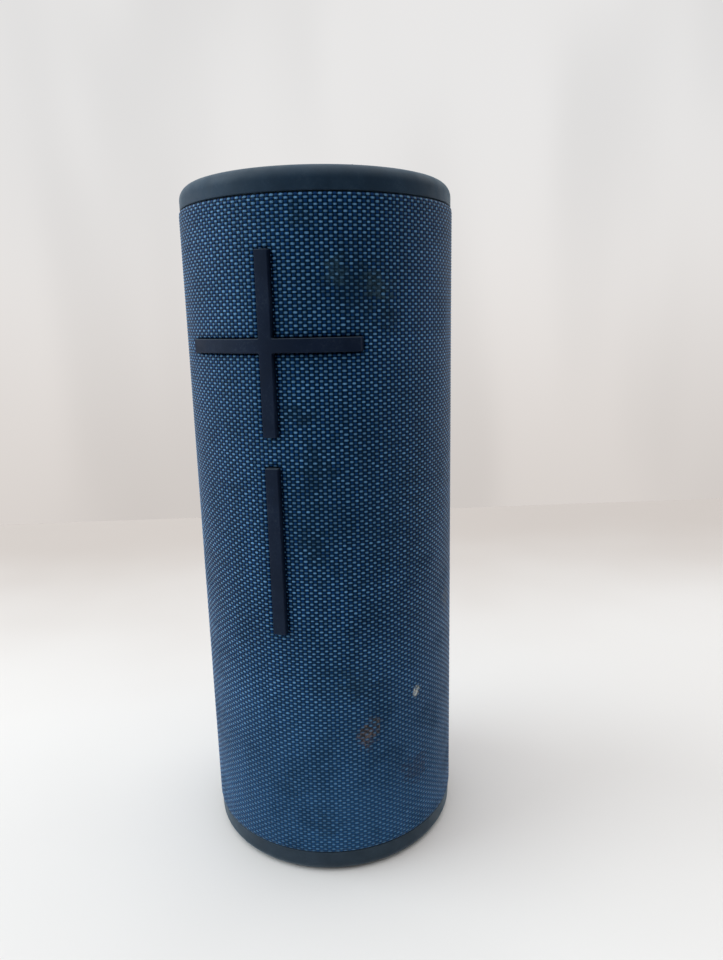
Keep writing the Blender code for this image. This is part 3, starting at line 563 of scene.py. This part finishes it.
SURFACES = {
    "woven_fabric": FABRIC,
    "webbing": WEBBING,
    "cap_rubber": moulded("cap_rubber", (0.014, 0.032, 0.059), *CAP_GRAIN, **RUBBER_SHEEN),
    "base_rubber": moulded("base_rubber", (0.021, 0.035, 0.053), *CAP_GRAIN, **RUBBER_SHEEN),
    "key_rubber": moulded("key_rubber", (0.006, 0.013, 0.033), 0.50, 0.22 * MM, 0.006 * MM, 0.15, 0.09,
                          Specular_IOR_Level=0.15, Specular_Tint=(0.70, 0.85, 1.0)),
    "seal_rubber": moulded("seal_rubber", (0.014, 0.016, 0.020), 0.70, 0.4 * MM, 0.02 * MM, 0.2, 0.1),
    "chassis_plastic": moulded("chassis_plastic", (0.028, 0.028, 0.031), 0.48, 0.5 * MM, 0.02 * MM),
    "cone_paper": moulded("cone_paper", (0.045, 0.045, 0.05), 0.85, 0.7 * MM, 0.06 * MM, 0.35),
    "steel": metal("steel", (0.55, 0.56, 0.58), 0.36),
    "gold_contact": metal("gold_contact", (0.90, 0.62, 0.26), 0.24),
    "circuit_board": printed_board(),
    "cell_wrap": shrink_wrap(),
    "clear_plastic": moulded(
        "clear_plastic", (0.75, 0.80, 0.84), 0.16, 0.3 * MM, 0.004 * MM, 0.05, Transmission_Weight=0.6
    ),
}
for part in frame["record"]["subparts"]:
    node = frame["nodes"][part["node"]]
    node.data.materials.clear()
    node.data.materials.append(SURFACES[part["material_slot"]])


# ---------------------------------------------------------------- sleeve


def window(facing, left, right, low, high):
    """A window in the sleeve, from the box of what fills it, with a small gap all round."""
    return facing, (left - WINDOW_GAP, right + WINDOW_GAP), (low - WINDOW_GAP, high + WINDOW_GAP)


BAR = (PLUS_Z - KEY_HALF, PLUS_Z + KEY_HALF)
STRAP_THICK = 1.2 * MM
STRAP = (LOOP_LOW.x, LOOP_HIGH.x)
WINDOWS = [
    window("front", -KEY_HALF, KEY_HALF, PLUS_LOW.z, PLUS_HIGH.z),
    window("front", PLUS_LOW.x, PLUS_HIGH.x, *BAR),
    window("front", -KEY_HALF, KEY_HALF, MINUS_LOW.z, MINUS_HIGH.z),
    window("back", FLAP_LOW.x, FLAP_HIGH.x, FLAP_LOW.z, FLAP_HIGH.z),
    window("back", *STRAP, LOOP_LOW.z, LOOP_LOW.z + STRAP_THICK),
    window("back", *STRAP, LOOP_HIGH.z - STRAP_THICK, LOOP_HIGH.z),
]


def weave_grid():
    """Where each grid line of the weave runs, in ends and picks, and which cells the windows take."""
    ends, picks = np.meshgrid(np.arange(ENDS + 1.0), np.arange(PICKS + 1.0))
    taken = np.zeros((PICKS, ENDS), bool)
    for facing, across, up in WINDOWS:
        reach = [math.asin(x / SLEEVE_R) * ENDS / (2 * math.pi) for x in across]
        rows = [(z - SLEEVE_LOW.z) / PICK_PITCH for z in up]
        first, last = (round(row) for row in rows)
        for middle in (ENDS / 2,) if facing == "front" else (0, ENDS):
            sides = (middle + reach[0], middle + reach[1])
            near, far = (min(max(round(side), 0), ENDS) for side in sides)
            taken[first:last, near:far] = True
            for side in sides:
                if 0 < side < ENDS:
                    ends[first : last + 1, round(side)] = side
            picks[first, near : far + 1], picks[last, near : far + 1] = rows
    return ends, picks, taken


def weave_rim(taken):
    """Which grid points are on a rim of the sleeve: at either end, or round a window."""
    solid = np.zeros((PICKS + 2, ENDS + 2), int)
    solid[1:-1, 1:-1] = ~taken
    solid[1:-1, 0], solid[1:-1, -1] = solid[1:-1, -2], solid[1:-1, 1]
    count = solid[:-1, :-1] + solid[:-1, 1:] + solid[1:, :-1] + solid[1:, 1:]
    return (count > 0) & (count < 4)


def middle(grid):
    """The mean of each cell's four corners."""
    return (grid[:-1, :-1] + grid[:-1, 1:] + grid[1:, :-1] + grid[1:, 1:]) / 4


def round_sleeve(turn, rise, radius):
    """The points that are so many ends round the sleeve and picks up it, at a radius."""
    angle = (turn / ENDS - 0.5) * 2 * math.pi
    height = SLEEVE_LOW.z + rise * PICK_PITCH
    return np.stack([radius * np.sin(angle), -radius * np.cos(angle), height], -1).reshape(-1, 3)


def sleeve_points(ends, picks, rim):
    """The valleys of the outer face, its crowns, and the inner face, which is right behind it."""
    jitter = np.random.default_rng(11)
    pick_shift = jitter.normal(0, 0.05, PICKS + 1)
    end_shift = jitter.normal(0, 0.05, ENDS)
    end_shift = np.append(end_shift, end_shift[0])
    turn = ends + ~rim * end_shift[None, :]
    rise = picks + ~rim * pick_shift[:, None]
    outer = round_sleeve(turn, rise, SLEEVE_R - np.where(rim, TUCK_DIP, VALLEY_DIP))

    rows, columns = np.mgrid[0:PICKS, 0:ENDS]
    dip = np.where((rows + columns) % 2 == 0, 0.0, WARP_DIP) + (middle(1.0 * rim) > 0) * RIM_DIP
    crowns = round_sleeve(middle(turn), middle(rise), SLEEVE_R - dip)

    # A window is cut straight in along Y, and the sleeve's two ends are cut towards its axis
    inner = round_sleeve(ends, picks, np.full_like(ends, SLEEVE_R))
    reach = np.clip(SLEEVE_IN**2 - inner[:, 0] ** 2, 0.0, None)
    inner[:, 1] = np.sign(inner[:, 1]) * np.sqrt(reach)
    at_end = np.zeros_like(rim)
    at_end[0] = at_end[-1] = True
    straight = round_sleeve(ends, picks, np.full_like(ends, SLEEVE_IN))
    return outer, crowns, np.where(at_end.reshape(-1, 1), straight, inner)


def sleeve_faces(taken, rim):
    """Faces by point number, and the layer of each: 0 for outside, 1 for the rims, 2 for inside."""
    open_low, open_high = np.ones_like(taken), np.ones_like(taken)
    open_low[1:], open_high[:-1] = taken[:-1], taken[1:]
    open_left, open_right = np.roll(taken, 1, axis=1), np.roll(taken, -1, axis=1)
    faces, layer = [], []
    for row, column in zip(*np.nonzero(~taken)):
        a = row * WIDE + column
        b, c, d = a + 1, a + 1 + WIDE, a + WIDE
        top = FIRST_CROWN + row * ENDS + column
        ring = ((a, b, open_low), (b, c, open_right), (c, d, open_high), (d, a, open_left))
        for start, end, side in ring:
            faces.append((start, end, top))
            layer.append(0)
            if side[row, column]:
                faces.append((end, start, FIRST_INNER + start, FIRST_INNER + end))
                layer.append(1)
    for column in range(ENDS):
        closed = np.flatnonzero(~taken[:, column])
        runs = np.split(closed, np.flatnonzero(np.diff(closed) > 1) + 1)
        for run in runs:
            span = range(run[0], run[-1] + 2)
            left = [FIRST_INNER + row * WIDE + column for row in span if rim[row, column]]
            right = [FIRST_INNER + row * WIDE + column + 1 for row in span if rim[row, column + 1]]
            faces.append(tuple(left + right[::-1]))
            layer.append(2)
    return faces, layer


def unroll(flat, side, corners):
    """UVs with the outer face laid flat over most of the square, and the rims and inside below it."""
    across, up = flat[:, 0] / ENDS, flat[:, 1] / PICKS
    rim_up = np.where(corners >= FIRST_INNER, 0.04, 0.05)
    upwards = np.where(side == 0, 0.07 + 0.925 * up, np.where(side == 1, rim_up, 0.005 + 0.03 * up))
    sideways = np.where(side == 1, (flat[:, 0] + flat[:, 1]) / (ENDS + PICKS), across)
    return np.stack([0.004 + 0.992 * sideways, upwards], -1).astype(np.float32)


def woven_sleeve():
    """The sleeve as one closed mesh whose outer face has a crown at every crossing of the weave."""
    ends, picks, taken = weave_grid()
    rim = weave_rim(taken)
    coords = np.concatenate(sleeve_points(ends, picks, rim))
    on_grid = np.stack([ends, picks], -1).reshape(-1, 2)
    between = np.stack([middle(ends), middle(picks)], -1).reshape(-1, 2)
    weave = np.concatenate([on_grid, between, on_grid])
    faces, layer = sleeve_faces(taken, rim)
    corners = np.concatenate([np.array(face) for face in faces])
    lengths = np.array([len(face) for face in faces])

    wrapped = corners.copy()
    for start in (0, FIRST_INNER):
        seam = (corners >= start) & (corners < start + FIRST_CROWN) & ((corners - start) % WIDE == ENDS)
        wrapped[seam] -= ENDS
    used, numbers = np.unique(wrapped, return_inverse=True)
    ends_of = np.cumsum(lengths)
    polygons = [numbers[end - length : end].tolist() for end, length in zip(ends_of, lengths)]
    mesh = bpy.data.meshes.new("sleeve")
    mesh.from_pydata(coords[used].tolist(), [], polygons)

    flat = weave[corners]
    values = np.zeros((len(corners), 3), np.float32)
    values[:, :2] = flat
    mesh.attributes.new("weave", "FLOAT_VECTOR", "CORNER").data.foreach_set("vector", values.ravel())
    chart = unroll(flat, np.repeat(layer, lengths), corners)
    mesh.uv_layers.new(name="OFBake").data.foreach_set("uv", chart.ravel())
    mesh.shade_smooth()
    made = bpy.data.objects.new("sleeve", mesh)
    bpy.context.scene.collection.objects.link(made)
    return made


sleeve = woven_sleeve()
sleeve.data.materials.append(FABRIC)
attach(sleeve, "housing")
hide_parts("fabric_sleeve")


# ---------------------------------------------------------------- volume keys


def volume_key(sign, outline, middle):
    """A thin bar key, rounded over at its edges, on the post that reaches its switch."""
    _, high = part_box(sign + "_button")
    bm = wrap(slab(outline, edge_rings(KEY_DEPTH, KEY_EDGE)), KEY_FACE, -1)
    key = new_object(sign + "_key_cap", bm)
    length = high.y + KEY_FACE - KEY_DEPTH / 2
    shaft = turned("post", [(0, 0), (1.5 * MM, 0), (1.5 * MM, length, 0.3 * MM), (0, length)], SMALL)
    shaft.data.transform(Matrix.Rotation(-math.pi / 2, 4, "X"))
    shaft.data.transform(Matrix.Translation((0, -KEY_FACE + KEY_DEPTH / 2, middle)))
    return piece(join(key, shaft), sign + "_key", SURFACES["key_rubber"], "key_rubber", sign + "_button")


PLUS_CORNERS = [
    (-KEY_HALF, PLUS_LOW.z),
    (KEY_HALF, PLUS_LOW.z),
    (KEY_HALF, BAR[0]),
    (PLUS_HIGH.x, BAR[0]),
    (PLUS_HIGH.x, BAR[1]),
    (KEY_HALF, BAR[1]),
    (KEY_HALF, PLUS_HIGH.z),
    (-KEY_HALF, PLUS_HIGH.z),
    (-KEY_HALF, BAR[1]),
    (PLUS_LOW.x, BAR[1]),
    (PLUS_LOW.x, BAR[0]),
    (-KEY_HALF, BAR[0]),
]
volume_key("plus", rounded(PLUS_CORNERS, 0.30 * MM), PLUS_Z)
MINUS_OUTLINE = oblong(KEY_HALF, MINUS_LOW.z, MINUS_HIGH.z, 0.30 * MM)
volume_key("minus", MINUS_OUTLINE, (MINUS_LOW.z + MINUS_HIGH.z) / 2)


# ---------------------------------------------------------------- top cap and its buttons

CAP_ROUND, CAP_WALL_IN, CAP_SKIRT = 3.5 * MM, 33.0 * MM, 34.9 * MM
CAP_SEAM = SLEEVE_HIGH.z + 0.30 * MM
DECK_R, DECK_BOTTOM = 28.2 * MM, DECK_TOP - 2.7 * MM
DECK_BUTTONS = ("play", "power", "pairing")


def hole(name, centre, radius, low, high, flare):
    """A cutter for a round hole through the deck, with its upper edge chamfered."""
    corners = [
        (0, low),
        (radius, low),
        (radius, high - flare),
        (radius + flare, high),
        (radius + flare, high + 2 * MM),
        (0, high + 2 * MM),
    ]
    return turned(name, corners, COARSE, centre)


def button_place(name):
    """The centre and the radius of a deck button's cap, from its CAD node."""
    low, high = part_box(name + "_button")
    flange = 1.3 * MM
    return ((low.x + high.x) / 2, (low.y + high.y) / 2), (high.x - low.x) / 2 - flange, low, high


def nicked(made):
    """A few small burrs where the rubber has been knocked, on the front of the rim's top face."""
    middle = CAP_R - CAP_ROUND - 0.6 * MM

    def spot(vert):
        radius, turn = math.hypot(vert.co.x, vert.co.y), math.atan2(vert.co.x, -vert.co.y)
        return (turn - math.radians(35.0)) * radius, radius - middle

    bm = bmesh.new()
    bm.from_mesh(made.data)
    near = [
        edge for edge in bm.edges
        if all(vert.co.z > CAP_HIGH.z - 0.5 * MM and -MM < spot(vert)[0] < 6 * MM for vert in edge.verts)
    ]
    bmesh.ops.subdivide_edges(bm, edges=near, cuts=6, use_grid_fill=True)
    burrs = [(random.uniform(0.2, 4.8) * MM, random.uniform(0.20, 0.35) * MM) for _ in range(6)]
    for vert in bm.verts:
        if vert.co.z > CAP_HIGH.z - 0.02 * MM:
            along, across = spot(vert)
            aways = [(math.hypot(along - place, across) / size, size) for place, size in burrs]
            vert.co.z += max(size * math.exp(-(away**2)) for away, size in aways)
    bm.to_mesh(made.data)
    bm.free()
    return made


def top_cap():
    corners = [
        (0, DECK_TOP),
        (DECK_R, DECK_TOP, 0.25 * MM),
        (DECK_R + 0.6 * MM, CAP_HIGH.z, 0.3 * MM),
        (CAP_R, CAP_HIGH.z, CAP_ROUND),
        (CAP_R, CAP_SEAM, 0.25 * MM),
        (CAP_SKIRT, CAP_SEAM),
        (CAP_SKIRT, CAP_LOW.z),
        (CAP_WALL_IN, CAP_LOW.z),
        (CAP_WALL_IN, DECK_BOTTOM),
        (0, DECK_BOTTOM),
    ]
    cap = turned("top_cap_shell", corners, FINE, steps=8)
    low = DECK_BOTTOM - MM
    for name in DECK_BUTTONS:
        centre, radius, _, _ = button_place(name)
        cut(cap, hole(name + "_hole", centre, radius + 0.30 * MM, low, DECK_TOP, 0.15 * MM))
    pipe_low, pipe_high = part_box("light_pipe")
    centre = (pipe_low + pipe_high).xy / 2
    cut(cap, hole("pipe_hole", centre, pipe_high.x - centre.x + 0.12 * MM, low, DECK_TOP, 0.1 * MM))
    piece(nicked(cap), "housing", SURFACES["cap_rubber"], "cap_rubber", "top_cap")
    lens = turned(
        "light_pipe_lens",
        [(0, pipe_low.z), (0.8 * MM, pipe_low.z), (0.8 * MM, pipe_high.z, 0.2 * MM), (0, pipe_high.z)],
        SMALL,
        centre,
    )
    piece(lens, "housing", SURFACES["clear_plastic"], "clear_plastic", "light_pipe")


def deck_button(name):
    """A domed button with a dished face, on a flange and a stem."""
    centre, radius, low, high = button_place(name)
    flange_low, flange_high, stem = high.z - 4.6 * MM, high.z - 3.7 * MM, 2.5 * MM
    dish = 0.18 * MM * radius / (12 * MM)
    corners = [
        (0, high.z - dish),
        (radius * 0.45, high.z - dish * 0.78),
        (radius * 0.75, high.z - dish * 0.3),
        (radius, high.z, 0.55 * MM),
        (radius, flange_high),
        (radius + 1.3 * MM, flange_high, 0.15 * MM),
        (radius + 1.3 * MM, flange_low, 0.15 * MM),
        (stem, flange_low),
        (stem, low.z, 0.3 * MM),
        (0, low.z),
    ]
    made = turned(name + "_key_cap", corners, COARSE, centre)
    return piece(made, name + "_key", SURFACES["cap_rubber"], "cap_rubber", name + "_button")


def arc(radius, start, end, count=24):
    angles = [math.radians(start + (end - start) * step / count) for step in range(count + 1)]
    return [(radius * math.cos(angle), radius * math.sin(angle)) for angle in angles]


def marks(name, outlines):
    """Raised marks on a deck button's face."""
    centre, _, _, high = button_place(name)
    for number, outline in enumerate(outlines, start=1):
        bm = lay(slab(outline, edge_rings(0.35 * MM, 0.08 * MM)), centre, high.z + 0.06 * MM)
        made = new_object(f"{name}_mark_{number}", bm)
        piece(made, name + "_key", SURFACES["key_rubber"], "key_rubber")


top_cap()
for button in DECK_BUTTONS:
    deck_button(button)
marks("play", [rounded([(-2.4 * MM, -3.3 * MM), (3.4 * MM, 0), (-2.4 * MM, 3.3 * MM)], 0.7 * MM)])
marks(
    "power",
    [stroke(arc(1.9 * MM, 125, 415), 0.25 * MM), stroke([(0, 0.5 * MM), (0, 2.5 * MM)], 0.25 * MM)],
)
marks(
    "pairing",
    [
        stroke(arc(1.9 * MM, 35, 145), 0.2 * MM),
        stroke(arc(1.05 * MM, 35, 145, 12), 0.2 * MM),
        stroke(arc(0.12 * MM, 0, 350, 12), 0.16 * MM),
    ],
)


# ---------------------------------------------------------------- base cap, foot and contacts


def base_cap():
    seam, lip, floor = SLEEVE_LOW.z - 0.30 * MM, 0.25 * MM, 1.5 * MM
    disc_r, disc_z = FOOT_HIGH.x - 11.6 * MM, 0.5 * MM
    inside, dock = 4.6 * MM, 7.6 * MM
    corners = [
        (dock, inside),
        (CAP_WALL_IN, inside),
        (CAP_WALL_IN, BASE_HIGH.z),
        (CAP_SKIRT, BASE_HIGH.z),
        (CAP_SKIRT, seam),
        (CAP_R, seam, 0.25 * MM),
        (CAP_R, lip, 2.6 * MM),
        (FOOT_HIGH.x + 0.3 * MM, lip, 0.2 * MM),
        (FOOT_HIGH.x + 0.3 * MM, floor),
        (disc_r, floor),
        (disc_r, disc_z, 0.25 * MM),
        (dock, disc_z, 0.2 * MM),
    ]
    cap = turned("base_cap_shell", corners, FINE, steps=8)
    for number in (1, 2, 3):
        low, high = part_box(f"base_screw_{number}")
        centre = (low + high).xy / 2
        head, shank, seat, end = 2.8 * MM, 1.5 * MM, 3.3 * MM, 6 * MM
        bore = [(0, MM), (head, MM), (head, seat), (shank, seat), (shank, end), (0, end)]
        cut(cap, turned("screw_bore", bore, SMALL, centre))
    return piece(cap, "housing", SURFACES["base_rubber"], "cap_rubber", "base_cap")


def ribbed_foot():
    """The foot: a rubber ring with round ribs moulded into the face it stands on."""
    inside, outside, top = FOOT_HIGH.x - 11.3 * MM, FOOT_HIGH.x, FOOT_HIGH.z
    corners = [(inside, top), (outside, top), (outside, 0, 0.3 * MM)]
    ribs = 9
    pitch = (outside - inside - 2.0 * MM) / ribs
    for number in range(ribs):
        start = outside - 1.0 * MM - number * pitch
        corners += [
            (start, 0, 0.05 * MM),
            (start - 0.2 * MM, 0.22 * MM, 0.05 * MM),
            (start - 0.5 * MM, 0.22 * MM, 0.05 * MM),
            (start - 0.7 * MM, 0, 0.05 * MM),
        ]
    corners += [(inside, 0, 0.3 * MM)]
    foot = turned("foot", corners, FINE, steps=3)
    return piece(foot, "housing", SURFACES["seal_rubber"], "seal_rubber", "foot_ring")


def dock_contacts():
    """The carrier in the middle of the underside, with a ring and a pin in it."""
    low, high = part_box("dock_carrier")
    ring_low, ring_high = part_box("dock_ring")
    pin_low, pin_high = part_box("dock_pin")
    gap, ring_in, ring_r, pin_r = 0.15 * MM, 4.4 * MM, ring_high.x, pin_high.x
    shoulder, groove = 4.9 * MM, ring_high.z + 0.3 * MM
    carrier = [
        (pin_r + gap, high.z),
        (high.x, high.z),
        (high.x, shoulder),
        (7.3 * MM, shoulder),
        (7.3 * MM, low.z, 0.2 * MM),
        (ring_r + gap, low.z, 0.1 * MM),
        (ring_r + gap, groove),
        (ring_in - gap, groove),
        (ring_in - gap, low.z, 0.1 * MM),
        (pin_r + gap, low.z, 0.1 * MM),
    ]
    made = turned("dock_face", carrier)
    piece(made, "housing", SURFACES["chassis_plastic"], "chassis_plastic", "dock_carrier")
    ring = [
        (ring_in, ring_high.z),
        (ring_r, ring_high.z),
        (ring_r, ring_low.z, 0.2 * MM),
        (ring_in, ring_low.z, 0.2 * MM),
    ]
    made = turned("dock_contact_ring", ring)
    piece(made, "housing", SURFACES["gold_contact"], "gold_contact", "dock_ring")
    pin = [(0, pin_low.z), (pin_r, pin_low.z, 0.5 * MM), (pin_r, pin_high.z), (0, pin_high.z)]
    made = turned("dock_contact_pin", pin)
    piece(made, "housing", SURFACES["gold_contact"], "gold_contact", "dock_pin")


base_cap()
ribbed_foot()
dock_contacts()


# ---------------------------------------------------------------- charging port, flap and hanging loop


def port_flap():
    """The rubber flap, with a raised lip to pull it by and a shallow plug on its inside."""
    depth = 0.9 * MM
    half, low, high = FLAP_HIGH.x, FLAP_LOW.z, FLAP_HIGH.z
    cover = slab(oblong(half, low, high, 0.9 * MM), edge_rings(depth, 0.35 * MM))
    flap = new_object("flap_cover", wrap(cover, SLEEVE_R + 0.5 * MM, 1))
    grip = oblong(2.6 * MM, high - 2.3 * MM, high - 1.2 * MM, 0.5 * MM)
    lip = slab(grip, edge_rings(0.8 * MM, 0.3 * MM))
    join(flap, new_object("lip", wrap(lip, SLEEVE_R + 0.95 * MM, 1)))
    middle = (BEZEL_LOW.z + BEZEL_HIGH.z) / 2
    plug = slab(
        oblong(5.2 * MM, middle - 3.0 * MM, middle + 3.0 * MM, 1.5 * MM),
        [(0.3 * MM, 0.8 * MM), (0, 0.5 * MM), (0, 0)],
    )
    join(flap, new_object("plug", wrap(plug, SLEEVE_R - 0.1 * MM, 1)))
    return piece(flap, "port_flap", SURFACES["cap_rubber"], "cap_rubber", "usb_flap")


def facing_back(made, place):
    """Turn a piece that was made facing -Y from Y = 0 to face +Y, with its front at a place along Y."""
    made.data.transform(Matrix.Translation((0, place, 0)) @ Matrix.Scale(-1, 4, (0, 1, 0)))
    made.data.flip_normals()
    return made


def port():
    """The rubber bezel round the charging socket."""
    low, high = BEZEL_LOW, BEZEL_HIGH
    wall, middle = 1.2 * MM, (low.z + high.z) / 2
    body = slab(oblong(high.x, low.z, high.z, 0.8 * MM), edge_rings(high.y - low.y, 0.25 * MM))
    bezel = new_object("port_surround", body)
    mouth_x, mouth_z = high.x - wall, (high.z - low.z) / 2 - wall
    mouth = slab(
        oblong(mouth_x, middle - mouth_z, middle + mouth_z, 1.4 * MM),
        [(0, high.y - low.y + MM), (0, 0.25 * MM), (-0.25 * MM, 0), (-0.25 * MM, -MM)],
    )
    cut(bezel, new_object("mouth", mouth))
    facing_back(bezel, high.y)
    return piece(bezel, "housing", SURFACES["seal_rubber"], "seal_rubber", "port_bezel")


def usb_socket():
    """The charging receptacle: a folded steel shell round a plastic tongue with gold contacts."""
    low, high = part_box("usb_socket")
    depth, floor, wall, chamfer = high.y - low.y, 1.4 * MM, 0.35 * MM, 0.9 * MM

    def outline(inset):
        x, bottom, top = high.x - inset, low.z + inset, high.z - inset
        lower = [(chamfer - x, bottom), (x - chamfer, bottom), (x, bottom + chamfer)]
        return rounded(lower + [(x, top), (-x, top), (-x, bottom + chamfer)], 0.3 * MM)

    shell = new_object("socket_shell", slab(outline(0), edge_rings(depth, 0.12 * MM)))
    cut(shell, new_object("bore", slab(outline(wall), [(0, depth - floor), (0, -MM)])))
    piece(facing_back(shell, high.y), "housing", SURFACES["steel"], "steel", "usb_socket")

    middle, back, length = (low.z + high.z) / 2 + 0.1 * MM, high.y - 0.8 * MM, depth - floor - 0.6 * MM
    bar = oblong(2.5 * MM, middle - 0.3 * MM, middle + 0.3 * MM, 0.1 * MM)
    tongue = new_object("socket_tongue", slab(bar, edge_rings(length, 0.1 * MM)))
    piece(facing_back(tongue, back), "housing", SURFACES["chassis_plastic"], "chassis_plastic")
    half, top = 0.2 * MM, middle - 0.25 * MM
    bottom = top - 0.12 * MM
    for number in range(5):
        x = (number - 2) * 0.9 * MM
        corners = [(x - half, bottom), (x + half, bottom), (x + half, top), (x - half, top)]
        made = slab(rounded(corners, 0.03 * MM), [(0, length), (0, 0)])
        strip = facing_back(new_object(f"socket_contact_{number + 1}", made), back - 0.3 * MM)
        piece(strip, "housing", SURFACES["gold_contact"], "gold_contact")


def evenly(route, pitch):
    """Points at even steps along a route, about a pitch apart."""
    lengths = np.cumsum([0] + [(b - a).length for a, b in zip(route, route[1:])])
    count = round(lengths[-1] / pitch)
    line = []
    for step in range(count + 1):
        reach = lengths[-1] * step / count
        number = min(int(np.searchsorted(lengths, reach, "right")), len(route) - 1)
        share = (reach - lengths[number - 1]) / (lengths[number] - lengths[number - 1])
        line.append(route[number - 1].lerp(route[number], share))
    return line


def hang_loop():
    """A webbing strap that comes out of the back, runs down it and goes in again."""
    half, thick = STRAP[1], STRAP_THICK
    bend, end_y, face_y = 3.4 * MM, LOOP_LOW.y, LOOP_HIGH.y - thick / 2
    top, bottom = LOOP_HIGH.z - thick / 2, LOOP_LOW.z + thick / 2
    corners = [(end_y, top), (face_y, top), (face_y, bottom), (end_y, bottom)]
    route = [Vector(corners[0])]
    for number in (1, 2):
        centre, spokes = corner_arc(*corners[number - 1 : number + 2], bend, 16)
        route += [centre + spoke for spoke in spokes]
    route.append(Vector(corners[-1]))
    line = evenly(route, 0.45 * MM)
    section = oblong(half, -thick / 2, thick / 2, 0.45 * MM)
    ribs = 10
    bm = bmesh.new()
    spots = bm.loops.layers.float_vector.new("weave")
    rings = []
    for number, here in enumerate(line):
        run = (line[min(number + 1, len(line) - 1)] - line[max(number - 1, 0)]).normalized()
        out = Vector((-run.y, run.x))
        ring = []
        for point, outward in section:
            rib = (-1) ** number * 0.04 * MM * abs(outward.y)
            side = point.y + math.copysign(rib, point.y)
            place = here - out * side
            ring.append(bm.verts.new((point.x, place.x, place.y)))
        rings.append(ring)
    for number, (lower, upper) in enumerate(zip(rings, rings[1:])):
        for spot in range(len(section)):
            after = (spot + 1) % len(section)
            face = bm.faces.new((lower[spot], lower[after], upper[after], upper[spot]))
            for loop, up in zip(face.loops, (0, 0, 1, 1)):
                loop[spots] = ((loop.vert.co.x / half + 1) * ribs, number + up, 0)
    bm.faces.new(rings[0])
    bm.faces.new(rings[-1])
    made = new_object("strap", bm, 60)
    return piece(made, "housing", WEBBING, "webbing", "hang_loop")


port_flap()
port()
usb_socket()
hang_loop()


# ---------------------------------------------------------------- floor, light and camera


def table():
    """A table under a pale cloth, with edges not far in front of the speaker and behind it, and painted
    shade that darkens the cloth behind the speaker.
    """
    g = surface("table_cloth", 0.9)
    x, y, _ = g.split(g.place())
    behind = x * -TOWARDS_CAMERA[0] - y * TOWARDS_CAMERA[1]
    soft = g.noise(g.place(), 120 * MM, 2.0)
    cloth = g.mix(g.ramp(soft, 0.3, 0.7), (0.77, 0.76, 0.75), (0.80, 0.79, 0.78))
    # Painted shade: the cloth turns a darker warm grey behind the speaker, towards its far edge
    crease = g.ramp(behind + soft * 0.12, 0.08, 0.36)
    g.set(Base_Color=g.mix(crease, cloth, (0.53, 0.485, 0.455)))
    bm = bmesh.new()
    bmesh.ops.create_circle(bm, cap_ends=True, segments=96, radius=6.0)
    for reach in (0.26, -0.34):
        everything = bm.verts[:] + bm.edges[:] + bm.faces[:]
        edge = Vector((*TOWARDS_CAMERA, 0)) * reach
        bmesh.ops.bisect_plane(
            bm, geom=everything, dist=1e-6, plane_co=edge, plane_no=edge, clear_outer=True
        )
    made = new_object("floor", bm)
    made.data.materials.append(g.owner)


def area_light(name, place, size, power, colour):
    light = bpy.data.lights.new(name, "AREA")
    light.shape = "DISK"
    light.size = size
    light.energy = power
    light.color = colour
    lamp = bpy.data.objects.new(name, light)
    lamp.location = place
    aim = Vector((0, 0, 0.09)) - Vector(place)
    lamp.rotation_euler = aim.to_track_quat("-Z", "Y").to_euler()
    bpy.context.scene.collection.objects.link(lamp)


# Across the floor from the speaker to where the photograph was taken from
TOWARDS_CAMERA = (0.349, -0.937)
# How bright the surroundings are: behind the object, on their dark side, overhead, and as a backdrop
SKY, ROOM, CEILING, BACKDROP = 0.68, 0.03, 1.40, 0.77
DARK_SIDE = (0.712, -0.702, 0.0)


def studio():
    """Light from the left and overhead, a draped backdrop that only the camera sees, with painted fold
    shading and a darker foot, and two lamps.
    """
    world = bpy.data.worlds.new("studio")
    g = Graph(world, "Background")
    towards = g.node("TexCoord", out="Generated")
    _, _, up = g.split(towards)
    facing = g.node("VectorMath", {0: towards, 1: DARK_SIDE}, "Value", operation="DOT_PRODUCT")
    room = g.ramp(facing, -0.1, 0.9, SKY, ROOM)
    lit = room + g.ramp(up, 0.35, 0.9) * (CEILING - room)
    # Painted shade: soft folds make the backdrop lighter and darker in upright bands, and it grows darker
    # towards its foot
    painted_fold_shade = g.noise(g.stretch(towards, 7.0, 7.0, 1.5), 1.0, 1.0)
    foot = g.ramp(up, -0.32, 0.10, 0.84, 1.0)
    drape = g.ramp(painted_fold_shade, 0.3, 0.7, BACKDROP - 0.04, BACKDROP + 0.04) * foot
    seen = g.node("LightPath", out="Is Camera Ray")
    tone = g.mix(g.ramp(up, -0.30, 0.30), (1.0, 0.935, 0.89), (1.0, 0.99, 0.985))
    g.set(Strength=lit + seen * (drape - lit), Color=tone)
    bpy.context.scene.world = world
    area_light("window", (-2.2, -0.9, 1.5), 2.4, 40.0, (0.84, 0.95, 1.0))
    area_light("fill", (1.6, 2.0, 1.8), 1.6, 3.0, (1.0, 0.97, 0.93))


def camera():
    """The photograph's view: a phone held a little above the speaker's middle, turned from its keys."""
    data = bpy.data.cameras.new("camera")
    data.sensor_width, data.lens = 36.0, 26.66
    data.clip_start, data.clip_end = 0.01, 30.0
    pan, tilt, roll, around = (math.radians(a) for a in (2.953, 12.834, -1.320, 20.4))
    ahead = Vector((math.sin(pan) * math.cos(tilt), math.cos(pan) * math.cos(tilt), -math.sin(tilt)))
    right = Vector((math.cos(pan), -math.sin(pan), 0.0))
    up = right.cross(ahead)
    right, up = (
        right * math.cos(roll) + up * math.sin(roll),
        up * math.cos(roll) - right * math.sin(roll),
    )
    turn = Matrix((right, up, -ahead)).transposed().to_4x4()
    shot = bpy.data.objects.new("camera", data)
    place = Matrix.Translation((0.0, -204.78 * MM, 150.0 * MM))
    shot.matrix_world = Matrix.Rotation(around, 4, "Z") @ place @ turn
    bpy.context.scene.collection.objects.link(shot)
    bpy.context.scene.camera = shot


table()
studio()
camera()
bpy.context.scene.view_settings.view_transform = "Standard"
